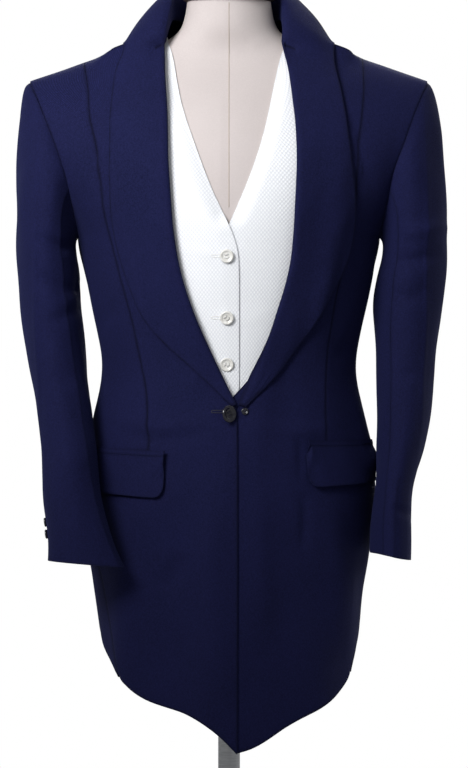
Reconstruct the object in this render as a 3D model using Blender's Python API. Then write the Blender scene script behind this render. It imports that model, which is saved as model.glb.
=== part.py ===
# Day suit on a dress form: a long navy coat with a shawl collar, over a white waistcoat.
# Metres, +Z up. The coat faces -Y. Right and left are the wearer's: right is -X, left is +X.
# The origin is the middle of the stand's underside, on the floor.

import math

import bmesh
import bpy
from mathutils import Vector
from mathutils.bvhtree import BVHTree

# Driving dimensions
COAT_WALL = 0.0018
SLEEVE_WALL = 0.0016
COLLAR_WALL = 0.0016
FLAP_WALL = 0.0016
WAISTCOAT_WALL = 0.0014
SEAM_GAP = 0.0003
LAYER_GAP = 0.0009
BODY_GAP = 0.0015
FORM_GAP = 0.0021
FORM_INSET = 0.0026
LAP_REACH = 0.006
MIDDLE_SHARE = 0.7
COLLAR_GAP = 0.0017
SHOULDER_LIFT = 0.0026
ARMHOLE_GAP = 0.0021

SHOULDER_LEVEL = 1.354
SHOULDER_NECK_ANGLE = 16.6
ARMPIT_LEVEL = 1.092
COLLAR_BREAK_LEVEL = 0.903
BUTTON_LEVEL = 0.892
LAP = 0.0095
LAP_UNDER = 0.0115

SIDES = {"right": -1.0, "left": 1.0}

# The coat's section at each level. A level is the height over the centre front; the height at the
# side is side_z, so that the top level is the sloping shoulder seam.
COAT_COLUMNS = ("level", "side_z", "half_width", "front", "back", "axis_y")
COAT_SECTIONS = (
    (0.470, 0.470, 0.1360, 0.112, 0.106, 0.000),
    (0.560, 0.560, 0.1430, 0.117, 0.110, 0.000),
    (0.630, 0.630, 0.1480, 0.121, 0.114, 0.000),
    (0.706, 0.706, 0.1570, 0.124, 0.118, 0.000),
    (0.780, 0.780, 0.1680, 0.125, 0.120, 0.000),
    (0.815, 0.815, 0.1680, 0.124, 0.119, 0.000),
    (0.853, 0.853, 0.1625, 0.120, 0.113, 0.000),
    (0.890, 0.890, 0.1540, 0.114, 0.104, 0.000),
    (0.945, 0.945, 0.1415, 0.107, 0.094, 0.000),
    (1.000, 1.000, 0.1530, 0.110, 0.095, 0.000),
    (1.050, 1.050, 0.1620, 0.115, 0.098, 0.000),
    (1.100, 1.100, 0.1725, 0.118, 0.100, 0.000),
    (1.130, 1.129, 0.1914, 0.118, 0.102, 0.000),
    (1.170, 1.1665, 0.2177, 0.113, 0.103, 0.000),
    (1.210, 1.1977, 0.2436, 0.101, 0.100, 0.000),
    (1.260, 1.2299, 0.2550, 0.079, 0.087, 0.000),
    (1.300, 1.2504, 0.2610, 0.054, 0.067, 0.003),
    (1.330, 1.2597, 0.2640, 0.031, 0.041, 0.005),
    (1.345, 1.2620, 0.2635, 0.017, 0.022, 0.005),
    (1.354, 1.2628, 0.2628, 0.000, 0.000, 0.005),
)

# Angle from the centre front at which the armhole leaves the front, and from the centre back.
ARMHOLE_COLUMNS = ("level", "front_angle", "back_angle")
ARMHOLE = (
    (1.092, 89.0, 89.0),
    (1.100, 81.0, 81.0),
    (1.130, 70.0, 69.0),
    (1.170, 58.5, 58.0),
    (1.210, 55.0, 56.0),
    (1.260, 56.0, 57.0),
    (1.300, 58.0, 58.5),
    (1.330, 59.3, 59.3),
    (1.354, 60.0, 60.0),
)

# The hem's height by angle from the centre front, on each side. It dips to a point in front.
HEM_COLUMNS = ("angle", "right", "left")
HEM = (
    (-5.0, 0.5035, 0.533),
    (0.0, 0.519, 0.522),
    (5.0, 0.531, 0.5050),
    (10.0, 0.5405, 0.5125),
    (20.0, 0.5535, 0.526),
    (30.0, 0.560, 0.542),
    (45.0, 0.573, 0.558),
    (60.0, 0.599, 0.576),
    (75.0, 0.625, 0.601),
    (90.0, 0.643, 0.634),
    (110.0, 0.652, 0.648),
    (180.0, 0.655, 0.655),
)

# The roll line, the collar's outer edge and the princess seam: distance from the centre by height.
ROLL_COLUMNS = ("z", "right", "left")
ROLL_LINE = (
    (0.903, -0.0085, 0.0105),
    (0.923, 0.0015, 0.0180),
    (0.944, 0.0112, 0.0253),
    (0.977, 0.0258, 0.0425),
    (1.019, 0.0428, 0.0563),
    (1.053, 0.0535, 0.0667),
    (1.093, 0.0605, 0.0713),
    (1.145, 0.0655, 0.0747),
    (1.221, 0.0685, 0.0747),
    (1.280, 0.0714, 0.0670),
    (1.310, 0.0724, 0.0590),
)
COLLAR_EDGE_COLUMNS = ("z", "right", "left")
COLLAR_EDGE = (
    (0.900, -0.0030, 0.0180),
    (0.913, 0.0092, 0.0320),
    (0.947, 0.0437, 0.0620),
    (0.974, 0.0713, 0.0800),
    (1.012, 0.0989, 0.1030),
    (1.053, 0.1160, 0.1276),
    (1.092, 0.1276, 0.1390),
    (1.145, 0.1333, 0.1414),
    (1.221, 0.1333, 0.1330),
    (1.278, 0.1300, 0.1210),
    (1.310, 0.1180, 0.1110),
)
PRINCESS_COLUMNS = ("z", "right", "left")
PRINCESS_SEAM = (
    (0.850, 0.0915, 0.1100),
    (0.920, 0.0931, 0.1090),
    (0.961, 0.1020, 0.1120),
    (1.023, 0.1160, 0.1210),
    (1.070, 0.1290, 0.1320),
    (1.127, 0.1425, 0.1420),
    (1.230, 0.1575, 0.1520),
    (1.300, 0.1660, 0.1535),
)

# The side seam's angle from the centre front.
SIDE_SEAM_COLUMNS = ("level", "right", "left")
SIDE_SEAM = (
    (0.520, 56.0, 72.0),
    (0.620, 58.0, 74.0),
    (0.715, 68.0, 80.0),
    (0.800, 83.0, 88.0),
    (0.860, 89.5, 89.5),
    (1.092, 89.5, 89.5),
)

# Soft folds of the skirt: angle from the centre front, spread in degrees, depth (below 0 is a
# hollow), and the level at which the fold has died away.
SKIRT_FOLDS = (
    ("right", 27.0, 11.0, -0.0055, 0.84),
    ("right", 7.0, 7.0, 0.0030, 0.86),
    ("right", 52.0, 12.0, 0.0035, 0.80),
    ("right", 128.0, 13.0, -0.0050, 0.84),
    ("right", 155.0, 11.0, 0.0045, 0.84),
    ("left", 22.0, 11.0, -0.0045, 0.82),
    ("left", 47.0, 12.0, 0.0030, 0.80),
    ("left", 122.0, 12.0, -0.0045, 0.82),
    ("left", 150.0, 12.0, 0.0050, 0.84),
)

# The dress form's horizontal sections.
FORM_COLUMNS = ("z", "half_width", "front", "back", "axis_y")
FORM_SECTIONS = (
    (0.700, 0.1330, 0.096, 0.096, 0.000),
    (0.706, 0.1390, 0.102, 0.102, 0.000),
    (0.740, 0.1470, 0.108, 0.108, 0.000),
    (0.790, 0.1500, 0.110, 0.110, 0.000),
    (0.850, 0.1470, 0.108, 0.105, 0.000),
    (0.900, 0.1405, 0.103, 0.094, 0.000),
    (0.945, 0.1362, 0.101, 0.088, 0.000),
    (1.000, 0.1470, 0.104, 0.089, 0.000),
    (1.050, 0.1560, 0.109, 0.092, 0.000),
    (1.100, 0.1640, 0.112, 0.094, 0.000),
    (1.150, 0.1650, 0.109, 0.096, 0.000),
    (1.200, 0.1660, 0.098, 0.093, 0.000),
    (1.240, 0.1680, 0.081, 0.085, 0.000),
    (1.265, 0.1640, 0.064, 0.073, 0.000),
    (1.285, 0.1500, 0.050, 0.062, 0.002),
    (1.302, 0.1180, 0.043, 0.056, 0.004),
    (1.315, 0.0860, 0.044, 0.055, 0.004),
    (1.326, 0.0660, 0.047, 0.053, 0.003),
    (1.338, 0.0550, 0.050, 0.051, 0.002),
    (1.366, 0.0510, 0.049, 0.051, 0.001),
)

# Each sleeve's sections from below the armpit to the cuff. x is the distance from the centre,
# hind is the hindarm seam's angle and fore the forearm seam's, from the outer side forwards.
SLEEVE_COLUMNS = ("z", "x", "half_x", "y", "half_y", "fore", "hind")
SLEEVE_SECTIONS = {
    "right": (
        (1.074, 0.2095, 0.0347, 0.000, 0.068, 122.0, -100.0),
        (1.037, 0.2062, 0.0352, -0.002, 0.066, 122.0, -98.0),
        (0.982, 0.2005, 0.0340, -0.009, 0.062, 124.0, -94.0),
        (0.945, 0.1952, 0.0335, -0.018, 0.058, 126.0, -90.0),
        (0.908, 0.1895, 0.0314, -0.034, 0.053, 128.0, -84.0),
        (0.870, 0.1833, 0.0308, -0.060, 0.047, 130.0, -74.0),
        (0.835, 0.1800, 0.0310, -0.083, 0.043, 134.0, -60.0),
        (0.810, 0.1775, 0.0316, -0.089, 0.041, 138.0, -46.0),
        (0.780, 0.1735, 0.0336, -0.099, 0.039, 142.0, -34.0),
        (0.750, 0.1665, 0.0380, -0.107, 0.037, 145.0, -26.0),
        (0.724, 0.1605, 0.0445, -0.113, 0.035, 146.0, -22.0),
    ),
    "left": (
        (1.074, 0.2128, 0.0380, 0.000, 0.068, 122.0, -100.0),
        (1.037, 0.2070, 0.0400, -0.001, 0.066, 122.0, -98.0),
        (1.000, 0.2045, 0.0382, -0.003, 0.063, 122.0, -96.0),
        (0.964, 0.2030, 0.0352, -0.008, 0.060, 122.0, -94.0),
        (0.927, 0.2020, 0.0328, -0.016, 0.058, 122.0, -92.0),
        (0.890, 0.1998, 0.0304, -0.026, 0.057, 122.0, -90.0),
        (0.862, 0.1975, 0.0277, -0.035, 0.057, 122.0, -88.0),
        (0.835, 0.1936, 0.0226, -0.043, 0.057, 122.0, -86.0),
        (0.812, 0.1902, 0.0190, -0.048, 0.057, 122.0, -84.0),
        (0.776, 0.1886, 0.0187, -0.053, 0.056, 122.0, -82.0),
        (0.731, 0.1880, 0.0183, -0.058, 0.055, 122.0, -80.0),
    ),
}

WOOL = ("navy_wool", (0.016, 0.017, 0.062), 0.85, 0.0)
PIQUE = ("white_pique", (0.82, 0.82, 0.80), 0.8, 0.0)
PEARL = ("pearl", (0.80, 0.76, 0.68), 0.25, 0.0)
DARK_HORN = ("dark_horn", (0.010, 0.010, 0.013), 0.2, 0.0)
JERSEY = ("beige_jersey", (0.62, 0.52, 0.40), 0.8, 0.0)
DARK_WOOD = ("dark_wood", (0.05, 0.028, 0.018), 0.4, 0.0)
STEEL = ("brushed_steel", (0.60, 0.60, 0.60), 0.35, 1.0)


def read_column(table, columns, name, at):
    """A smooth value of one column, by the table's first column."""
    column = columns.index(name)
    keys = [row[0] for row in table]
    values = [row[column] for row in table]
    if at <= keys[0]:
        return values[0]
    if at >= keys[-1]:
        return values[-1]
    index = 0
    while keys[index + 1] < at:
        index += 1

    def slope(i):
        low = max(i - 1, 0)
        high = min(i + 1, len(keys) - 1)
        return (values[high] - values[low]) / (keys[high] - keys[low])

    span = keys[index + 1] - keys[index]
    t = (at - keys[index]) / span
    start = (2 * t ** 3 - 3 * t ** 2 + 1) * values[index]
    start_slope = (t ** 3 - 2 * t ** 2 + t) * span * slope(index)
    end = (3 * t ** 2 - 2 * t ** 3) * values[index + 1]
    end_slope = (t ** 3 - t ** 2) * span * slope(index + 1)
    return start + start_slope + end + end_slope


def smooth_step(low, high, value):
    t = min(max((value - low) / (high - low), 0.0), 1.0)
    return t * t * (3 - 2 * t)


def spread(low, high, count):
    """Evenly spaced values from low to high, both included."""
    return [low + (high - low) * i / (count - 1) for i in range(count)]


def clear_scene():
    for item in list(bpy.data.objects):
        bpy.data.objects.remove(item)


def material_for(finish):
    name, colour, roughness, metallic = finish
    material = bpy.data.materials.get(name)
    if material is None:
        material = bpy.data.materials.new(name)
        material.use_nodes = True
        shader = material.node_tree.nodes["Principled BSDF"]
        shader.inputs["Base Color"].default_value = (*colour, 1.0)
        shader.inputs["Roughness"].default_value = roughness
        shader.inputs["Metallic"].default_value = metallic
    return material


def add_object(name, bm, finish, smooth=True):
    """Turns a finished bmesh into a named object."""
    mesh = bpy.data.meshes.new(name)
    bm.to_mesh(mesh)
    bm.free()
    if smooth:
        mesh.shade_smooth()
        mesh.set_sharp_from_angle(angle=math.radians(50.0))
    piece = bpy.data.objects.new(name, mesh)
    mesh.materials.append(material_for(finish))
    bpy.context.collection.objects.link(piece)
    return piece


def coat_value(name, level):
    return max(read_column(COAT_SECTIONS, COAT_COLUMNS, name, level), 0.0)


def skirt_fold(side, angle, z):
    """How far the skirt's folds move the cloth outwards at one place."""
    out = 0.0
    for fold_side, centre, width, depth, top in SKIRT_FOLDS:
        if fold_side == side:
            fade = 1.0 - smooth_step(top - 0.16, top, z)
            out += depth * fade * math.exp(-((angle - centre) / width) ** 2)
    return out


def coat_point(side, level, angle):
    """A point of the coat's outer surface: 0 degrees is the centre front, 180 the centre back."""
    turn = math.radians(angle)
    half_width = coat_value("half_width", level)
    depth = coat_value("front" if angle < 90.0 else "back", level)
    side_z = read_column(COAT_SECTIONS, COAT_COLUMNS, "side_z", level)
    out = skirt_fold(side, angle, level)
    x = SIDES[side] * (half_width + out) * math.sin(turn)
    y = read_column(COAT_SECTIONS, COAT_COLUMNS, "axis_y", level) - (depth + out) * math.cos(turn)
    z = level + (side_z - level) * abs(math.sin(turn))
    return Vector((x, y, z))


def coat_normal(side, level, angle):
    """The coat's outward direction at one place."""
    step_level = 0.002
    step_angle = 0.5
    low = min(level, SHOULDER_LEVEL - 0.003)
    up = coat_point(side, low + step_level, angle) - coat_point(side, low - step_level, angle)
    round_ = coat_point(side, low, angle + step_angle) - coat_point(side, low, angle - step_angle)
    normal = round_.cross(up) * SIDES[side]
    return normal.normalized()


def level_of(side, x, z):
    """The level and angle on the coat's front of the place at distance x and height z."""
    level = z
    for _ in range(40):
        half_width = coat_value("half_width", level)
        side_z = read_column(COAT_SECTIONS, COAT_COLUMNS, "side_z", level)
        sine = max(min(x / half_width, 0.999), -0.999)
        level = 0.5 * level + 0.5 * (z + (level - side_z) * abs(sine))
        level = min(level, SHOULDER_LEVEL)
    return level, math.degrees(math.asin(sine))


def angle_at(side, level, table, columns):
    """The angle at which a line, given by distance and height, crosses a level."""
    z = level
    for _ in range(8):
        x = read_column(table, columns, side, z)
        sine = max(min(x / coat_value("half_width", level), 0.999), -0.999)
        side_z = read_column(COAT_SECTIONS, COAT_COLUMNS, "side_z", level)
        z = level + (side_z - level) * abs(sine)
    return math.degrees(math.asin(sine))


def gap_angle(level):
    """Half the seam gap as an angle."""
    return math.degrees(0.5 * SEAM_GAP / coat_value("half_width", level))


def hem_level(side, angle):
    return read_column(HEM, HEM_COLUMNS, side, angle)


class Sheet:
    """A grid of outer points with their outward directions. Cells may be left out of it."""

    def __init__(self, points, normals, cells=None):
        self.points = points
        self.normals = normals
        rows = len(points)
        columns = len(points[0])
        every = [(i, j) for i in range(rows - 1) for j in range(columns - 1)]
        self.cells = every if cells is None else cells

    def moved(self, distance):
        """The same grid, moved along its outward directions."""
        return [[p + n * distance for p, n in zip(row, normal_row)]
                for row, normal_row in zip(self.points, self.normals)]

    def tree(self):
        """The outer surface, for finding what lies on it."""
        columns = len(self.points[0])
        corners = [p for row in self.points for p in row]
        faces = []
        for i, j in self.cells:
            start = i * columns + j
            faces.append((start, start + 1, start + columns + 1, start + columns))
        tree = BVHTree.FromPolygons(corners, faces)
        middle = self.cells[len(self.cells) // 2]
        face = faces[self.cells.index(middle)]
        turn = (corners[face[1]] - corners[face[0]]).cross(corners[face[3]] - corners[face[0]])
        self.sign = 1.0 if turn.dot(self.normals[middle[0]][middle[1]]) > 0 else -1.0
        return tree, self.sign

    def keep_off(self, trees, wall, gap, reach=0.03, rounds=3, middles=False):
        """Moves the grid out until its inner side clears everything that it lies on."""
        rows = len(self.points)
        columns = len(self.points[0])
        single = [[(i, j)] for i in range(rows) for j in range(columns)]
        along = [[(i, j), (i + 1, j)] for i in range(rows - 1) for j in range(columns)]
        across = [[(i, j), (i, j + 1)] for i in range(rows) for j in range(columns - 1)]
        cells = [[(i, j), (i + 1, j), (i, j + 1), (i + 1, j + 1)] for i, j in self.cells]
        groups = single
        if middles:
            groups = single + along + across + cells
        for _ in range(rounds):
            for group in groups:
                inner = Vector((0.0, 0.0, 0.0))
                for i, j in group:
                    inner += (self.points[i][j] - self.normals[i][j] * wall) / len(group)
                needed = gap if len(group) == 1 else MIDDLE_SHARE * gap
                shift = clearing_shift(inner, trees, needed, reach)
                for i, j in group:
                    self.points[i][j] = self.points[i][j] + shift * (1.0 if len(group) == 1 else 0.6)


def clearing_shift(point, trees, gap, reach):
    """How far a point has to move to lie outside every surface by the gap."""
    total = Vector((0.0, 0.0, 0.0))
    for tree, sign in trees:
        moved = point + total
        place, direction, _, _ = tree.find_nearest(moved)
        outward = direction * sign
        height = (moved - place).dot(outward)
        if height < gap and (moved - place).length < reach:
            total += outward * (gap - height)
    return total


def wall_mesh(sheet, wall):
    """A closed wall: the outer grid, the same grid moved in by the wall, and a rim."""
    bm = bmesh.new()
    inner_points = sheet.moved(-wall)
    outer = {}
    inner = {}
    for i, j in sheet.cells:
        for key in ((i, j), (i, j + 1), (i + 1, j + 1), (i + 1, j)):
            if key not in outer:
                outer[key] = bm.verts.new(sheet.points[key[0]][key[1]])
                inner[key] = bm.verts.new(inner_points[key[0]][key[1]])
    edges = {}
    for i, j in sheet.cells:
        keys = ((i, j), (i, j + 1), (i + 1, j + 1), (i + 1, j))
        bm.faces.new([outer[key] for key in keys])
        bm.faces.new([inner[key] for key in reversed(keys)])
        for start, end in zip(keys, keys[1:] + keys[:1]):
            edges[(start, end)] = True
    for start, end in edges:
        if (end, start) not in edges:
            bm.faces.new((outer[end], outer[start], inner[start], inner[end]))
    bmesh.ops.triangulate(bm, faces=bm.faces)
    if bm.calc_volume(signed=True) < 0:
        bmesh.ops.reverse_faces(bm, faces=bm.faces)
    return bm


def coat_grid(side, places):
    """Points and directions for rows of (level, angle) places on the coat."""
    points = [[coat_point(side, level, angle) for level, angle in row] for row in places]
    normals = [[coat_normal(side, level, angle) for level, angle in row] for row in places]
    return points, normals


# The dress form
FORM_SEGMENTS = 26
FORM_LEVELS = (0.700, 0.706, 0.740, 0.790, 0.850, 0.900, 0.945, 0.990, 1.040, 1.090, 1.140, 1.190,
               1.235, 1.265, 1.285, 1.302, 1.315, 1.326, 1.338, 1.366)
CAP_GAP = 0.0003
CAP_PROFILE = ((0.0, 0.0), (0.0505, 0.0), (0.0535, 0.002), (0.0540, 0.006), (0.0525, 0.010),
               (0.046, 0.0145), (0.030, 0.019), (0.012, 0.021), (0.0, 0.0215))
POLE_RADIUS = 0.0125
BASE_PROFILE = ((0.0, 0.0), (0.178, 0.0), (0.181, 0.003), (0.180, 0.008), (0.165, 0.0125),
                (0.090, 0.018), (0.034, 0.023), (0.026, 0.034), (0.0, 0.034))
TURNED_SEGMENTS = 28


def build_form():
    """A smooth closed body with a flat underside and a flat neck top."""
    bm = bmesh.new()
    rings = []
    for z in FORM_LEVELS:
        half_width, front, back, axis_y = (
            read_column(FORM_SECTIONS, FORM_COLUMNS, name, z) for name in FORM_COLUMNS[1:])
        ring = []
        for step in range(FORM_SEGMENTS):
            turn = 2 * math.pi * step / FORM_SEGMENTS
            depth = front if math.cos(turn) > 0 else back
            x = (half_width - FORM_INSET) * math.sin(turn)
            place = (x, axis_y - (depth - FORM_INSET) * math.cos(turn), z)
            ring.append(bm.verts.new(place))
        rings.append([bm.edges.new((a, b)) for a, b in zip(ring, ring[1:] + ring[:1])])
    for lower, upper in zip(rings, rings[1:]):
        bmesh.ops.bridge_loops(bm, edges=lower + upper)
    for ring in (rings[0], rings[-1]):
        bmesh.ops.edgeloop_fill(bm, edges=ring)
    bmesh.ops.recalc_face_normals(bm, faces=bm.faces)
    bmesh.ops.triangulate(bm, faces=bm.faces)
    tree = BVHTree.FromBMesh(bm)
    add_object("form_torso", bm, JERSEY)
    return (tree, 1.0)


def turned(name, profile, z, y, finish):
    """A body turned about a vertical axis, from a profile of radius and height."""
    bm = bmesh.new()
    points = [bm.verts.new((radius, 0.0, height)) for radius, height in profile]
    edges = [bm.edges.new((a, b)) for a, b in zip(points, points[1:])]
    bmesh.ops.spin(bm, geom=points + edges, cent=(0, 0, 0), axis=(0, 0, 1), steps=TURNED_SEGMENTS,
                   angle=2 * math.pi, use_merge=True)
    bmesh.ops.remove_doubles(bm, verts=bm.verts, dist=0.00001)
    bmesh.ops.recalc_face_normals(bm, faces=bm.faces)
    piece = add_object(name, bm, finish)
    piece.location = (0.0, y, z)
    return piece


def build_stand():
    top = BASE_PROFILE[-1][1]
    turned("form_base", BASE_PROFILE, 0.0, 0.0, STEEL)
    pole_length = FORM_LEVELS[0] - top - 2 * CAP_GAP
    pole_profile = ((0.0, 0.0), (POLE_RADIUS, 0.0), (POLE_RADIUS, pole_length), (0.0, pole_length))
    turned("form_pole", pole_profile, top + CAP_GAP, 0.0, STEEL)
    turned("form_neck_cap", CAP_PROFILE, FORM_LEVELS[-1] + CAP_GAP, 0.001, DARK_WOOD)


# The coat's body
POCKET_LEVEL = {"right": 0.850, "left": 0.858}
SKIRT_ROWS = 10
UPPER_LEVELS = (0.880, 0.905, 0.930, 0.960, 0.995, 1.030, 1.062, 1.092, 1.103, 1.130, 1.165, 1.200,
                1.235, 1.270, 1.300, 1.320, 1.336, 1.346, 1.354)
ROLL_INSET = 0.004
NECK_EDGE = 0.078
FRONT_COLUMNS_TO_SEAM = 6
FRONT_COLUMNS_TO_SIDE = 5
SIDE_COLUMNS = 4
BACK_COLUMNS = 8


def front_edge_distance(side, level):
    """The front panel's edge: the lap below the collar's break, under the roll line above it."""
    lap = -LAP if side == "right" else -LAP_UNDER
    roll = read_column(ROLL_LINE, ROLL_COLUMNS, side, level) + ROLL_INSET
    rise = smooth_step(COLLAR_BREAK_LEVEL - 0.012, COLLAR_BREAK_LEVEL + 0.030, level)
    edge = lap + (roll - lap) * rise
    neck = smooth_step(1.20, 1.31, level)
    return edge + (NECK_EDGE - edge) * neck


def distance_angle(level, distance):
    return math.degrees(math.asin(distance / coat_value("half_width", level)))


def princess_angle(side, level):
    return angle_at(side, level, PRINCESS_SEAM, PRINCESS_COLUMNS)


def side_seam_angle(side, level):
    return read_column(SIDE_SEAM, SIDE_SEAM_COLUMNS, side, level)


def skirt_level(side, angle, rise):
    hem = hem_level(side, angle)
    return hem + (POCKET_LEVEL[side] - hem) * rise


def seam_angle_on_skirt(side, rise):
    """The side seam's angle at one row of the skirt."""
    angle = 75.0
    for _ in range(6):
        angle = side_seam_angle(side, skirt_level(side, angle, rise))
    return angle


def fit_shoulder(sheet, shift):
    """Turns the shoulder seam's edge straight up and parts it from the other panel."""
    for row, level in ((-1, 1.0), (-2, 0.5)):
        for j, normal in enumerate(sheet.normals[row]):
            flat = Vector((normal.x, normal.y * (1.0 - level), normal.z))
            sheet.normals[row][j] = flat.normalized()
    for j, point in enumerate(sheet.points[-1]):
        sheet.points[-1][j] = point + Vector((0.0, shift, 0.0))


def coat_front(side):
    """From the front edge to the side seam below the pocket, and to the princess seam above it."""
    places = []
    pocket = POCKET_LEVEL[side]
    seam_at_pocket = princess_angle(side, pocket)
    inner = range(FRONT_COLUMNS_TO_SEAM + 1)
    outer = range(1, FRONT_COLUMNS_TO_SIDE + 1)
    for row in range(SKIRT_ROWS + 1):
        rise = row / SKIRT_ROWS
        level = skirt_level(side, 0.0, rise)
        start = distance_angle(level, front_edge_distance(side, 0.8))
        end = seam_angle_on_skirt(side, rise) - gap_angle(level)
        angles = [start + (seam_at_pocket - start) * j / FRONT_COLUMNS_TO_SEAM for j in inner]
        angles += [seam_at_pocket + (end - seam_at_pocket) * j / FRONT_COLUMNS_TO_SIDE
                   for j in outer]
        places.append([(skirt_level(side, angle, rise), angle) for angle in angles])
    for level in UPPER_LEVELS:
        start = distance_angle(level, front_edge_distance(side, level))
        end = princess_angle(side, level) - gap_angle(level)
        angles = [start + (end - start) * j / FRONT_COLUMNS_TO_SEAM for j in inner]
        angles += [end] * FRONT_COLUMNS_TO_SIDE
        places.append([(level, angle) for angle in angles])
    cells = []
    for i in range(len(places) - 1):
        columns = FRONT_COLUMNS_TO_SEAM
        if i < SKIRT_ROWS:
            columns += FRONT_COLUMNS_TO_SIDE
        cells += [(i, j) for j in range(columns)]
    sheet = Sheet(*coat_grid(side, places), cells)
    fit_shoulder(sheet, -0.5 * SEAM_GAP)
    if side == "right":
        lift_lap(sheet)
    return sheet


def lift_lap(sheet):
    """Lifts the right front where it laps over the left one."""
    height = COAT_WALL + LAYER_GAP
    for i, row in enumerate(sheet.points):
        for j, point in enumerate(row):
            if point.z < COLLAR_BREAK_LEVEL + 0.08:
                near = 1.0 - smooth_step(LAP_UNDER + 0.004, LAP_UNDER + 0.030, -point.x)
                row[j] = point + sheet.normals[i][j] * (height * near)


def coat_side(side):
    """From the princess seam to the side seam and the armhole, above the pocket."""
    places = []
    for level in (POCKET_LEVEL[side] + SEAM_GAP,) + UPPER_LEVELS:
        start = princess_angle(side, level) + gap_angle(level)
        if level < ARMPIT_LEVEL:
            end = side_seam_angle(side, level) - gap_angle(level)
        else:
            end = read_column(ARMHOLE, ARMHOLE_COLUMNS, "front_angle", level)
        places.append([(level, angle) for angle in spread(start, end, SIDE_COLUMNS + 1)])
    sheet = Sheet(*coat_grid(side, places))
    fit_shoulder(sheet, -0.5 * SEAM_GAP)
    return sheet


def coat_back(side):
    """From the centre back to the side seam and the armhole."""
    places = []
    for row in range(SKIRT_ROWS + 1):
        rise = row / SKIRT_ROWS
        level = skirt_level(side, 90.0, rise)
        start = seam_angle_on_skirt(side, rise) + gap_angle(level)
        end = 180.0 - gap_angle(level)
        angles = spread(start, end, BACK_COLUMNS + 1)
        places.append([(skirt_level(side, angle, rise), angle) for angle in angles])
    for level in UPPER_LEVELS:
        if level < ARMPIT_LEVEL:
            start = side_seam_angle(side, level) + gap_angle(level)
        else:
            start = 180.0 - read_column(ARMHOLE, ARMHOLE_COLUMNS, "back_angle", level)
        neck = SHOULDER_NECK_ANGLE * smooth_step(1.300, 1.336, level)
        end = 180.0 - gap_angle(level) - neck
        places.append([(level, angle) for angle in spread(start, end, BACK_COLUMNS + 1)])
    sheet = Sheet(*coat_grid(side, places))
    fit_shoulder(sheet, 0.5 * SEAM_GAP)
    return sheet


def grid_normals(points, outward):
    """Directions across a grid, turned to the side that outward names for its middle."""
    rows = len(points)
    columns = len(points[0])
    normals = []
    for i in range(rows):
        row = []
        for j in range(columns):
            along = points[min(i + 1, rows - 1)][j] - points[max(i - 1, 0)][j]
            across = points[i][min(j + 1, columns - 1)] - points[i][max(j - 1, 0)]
            row.append(across.cross(along).normalized())
        normals.append(row)
    if normals[rows // 2][columns // 2].dot(outward) < 0:
        normals = [[-normal for normal in row] for row in normals]
    return normals


# Sleeves
SLEEVE_TOP_Z = 1.074
CAP_STEPS = (0.0, 0.10, 0.24, 0.42, 0.62, 0.82)
SLEEVE_HEIGHTS = (1.074, 1.040, 1.000, 0.960, 0.925, 0.892, 0.862, 0.835, 0.808, 0.780, 0.752)
CUFF_TILT = {"right": 0.0035, "left": -0.0045}
TOP_SLEEVE_COLUMNS = 11
UNDER_SLEEVE_COLUMNS = 6
ARMHOLE_SAMPLES = 48


def armhole_line(side, part):
    """The armhole from the armpit to the shoulder tip, along the front or the back."""
    line = []
    for level in spread(ARMPIT_LEVEL, SHOULDER_LEVEL, ARMHOLE_SAMPLES):
        angle = read_column(ARMHOLE, ARMHOLE_COLUMNS, part + "_angle", level)
        if part == "back":
            angle = 180.0 - angle
        line.append((coat_point(side, level, angle), coat_normal(side, level, angle)))
    return line


def along_line(line, fraction):
    """The place at a fraction of a line's length."""
    lengths = [0.0]
    for (start, _), (end, _) in zip(line, line[1:]):
        lengths.append(lengths[-1] + (end - start).length)
    target = fraction * lengths[-1]
    index = 0
    while index < len(lengths) - 2 and lengths[index + 1] < target:
        index += 1
    t = (target - lengths[index]) / max(lengths[index + 1] - lengths[index], 1e-9)
    point = line[index][0].lerp(line[index + 1][0], t)
    return point, line[index][1].lerp(line[index + 1][1], t).normalized()


def sleeve_ring_point(side, z, turn):
    sections = SLEEVE_SECTIONS[side]
    sizes = [read_column([(-row[0],) + row[1:] for row in sections], SLEEVE_COLUMNS, name, -z)
             for name in ("x", "half_x", "y", "half_y")]
    angle = math.radians(turn)
    x = sizes[0] + sizes[1] * math.cos(angle)
    y = sizes[2] - sizes[3] * math.sin(angle)
    tilt = CUFF_TILT[side] * math.cos(angle) * (1.0 - smooth_step(0.735, 0.80, z))
    return Vector((SIDES[side] * x, y, z + tilt))


def seam_turn(side, z, name):
    sections = [(-row[0],) + row[1:] for row in SLEEVE_SECTIONS[side]]
    return read_column(sections, SLEEVE_COLUMNS, name, -z)


def cap_point(side, lines, step, turn):
    """A point between the armhole and the sleeve's first full ring."""
    turn = (turn + 180.0) % 360.0 - 180.0
    part = "front" if turn >= 0 else "back"
    start, _ = along_line(lines[part], 1.0 - abs(turn) / 180.0)
    out = SIDES[side]
    start = start + Vector((out * ARMHOLE_GAP, 0.0, 0.0))
    end = sleeve_ring_point(side, SLEEVE_TOP_Z, turn)
    top_share = 0.5 + 0.5 * math.cos(math.radians(turn))
    leave = Vector((out * (0.022 + 0.030 * top_share), 0.0, -0.018))
    leave.y = -0.035 * math.sin(math.radians(turn))
    arrive = Vector((0.0, 0.0, -1.05 * (start.z - end.z)))
    t = step
    point = start * (2 * t ** 3 - 3 * t ** 2 + 1) + leave * (t ** 3 - 2 * t ** 2 + t)
    return point + end * (3 * t ** 2 - 2 * t ** 3) + arrive * (t ** 3 - t ** 2)


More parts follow.
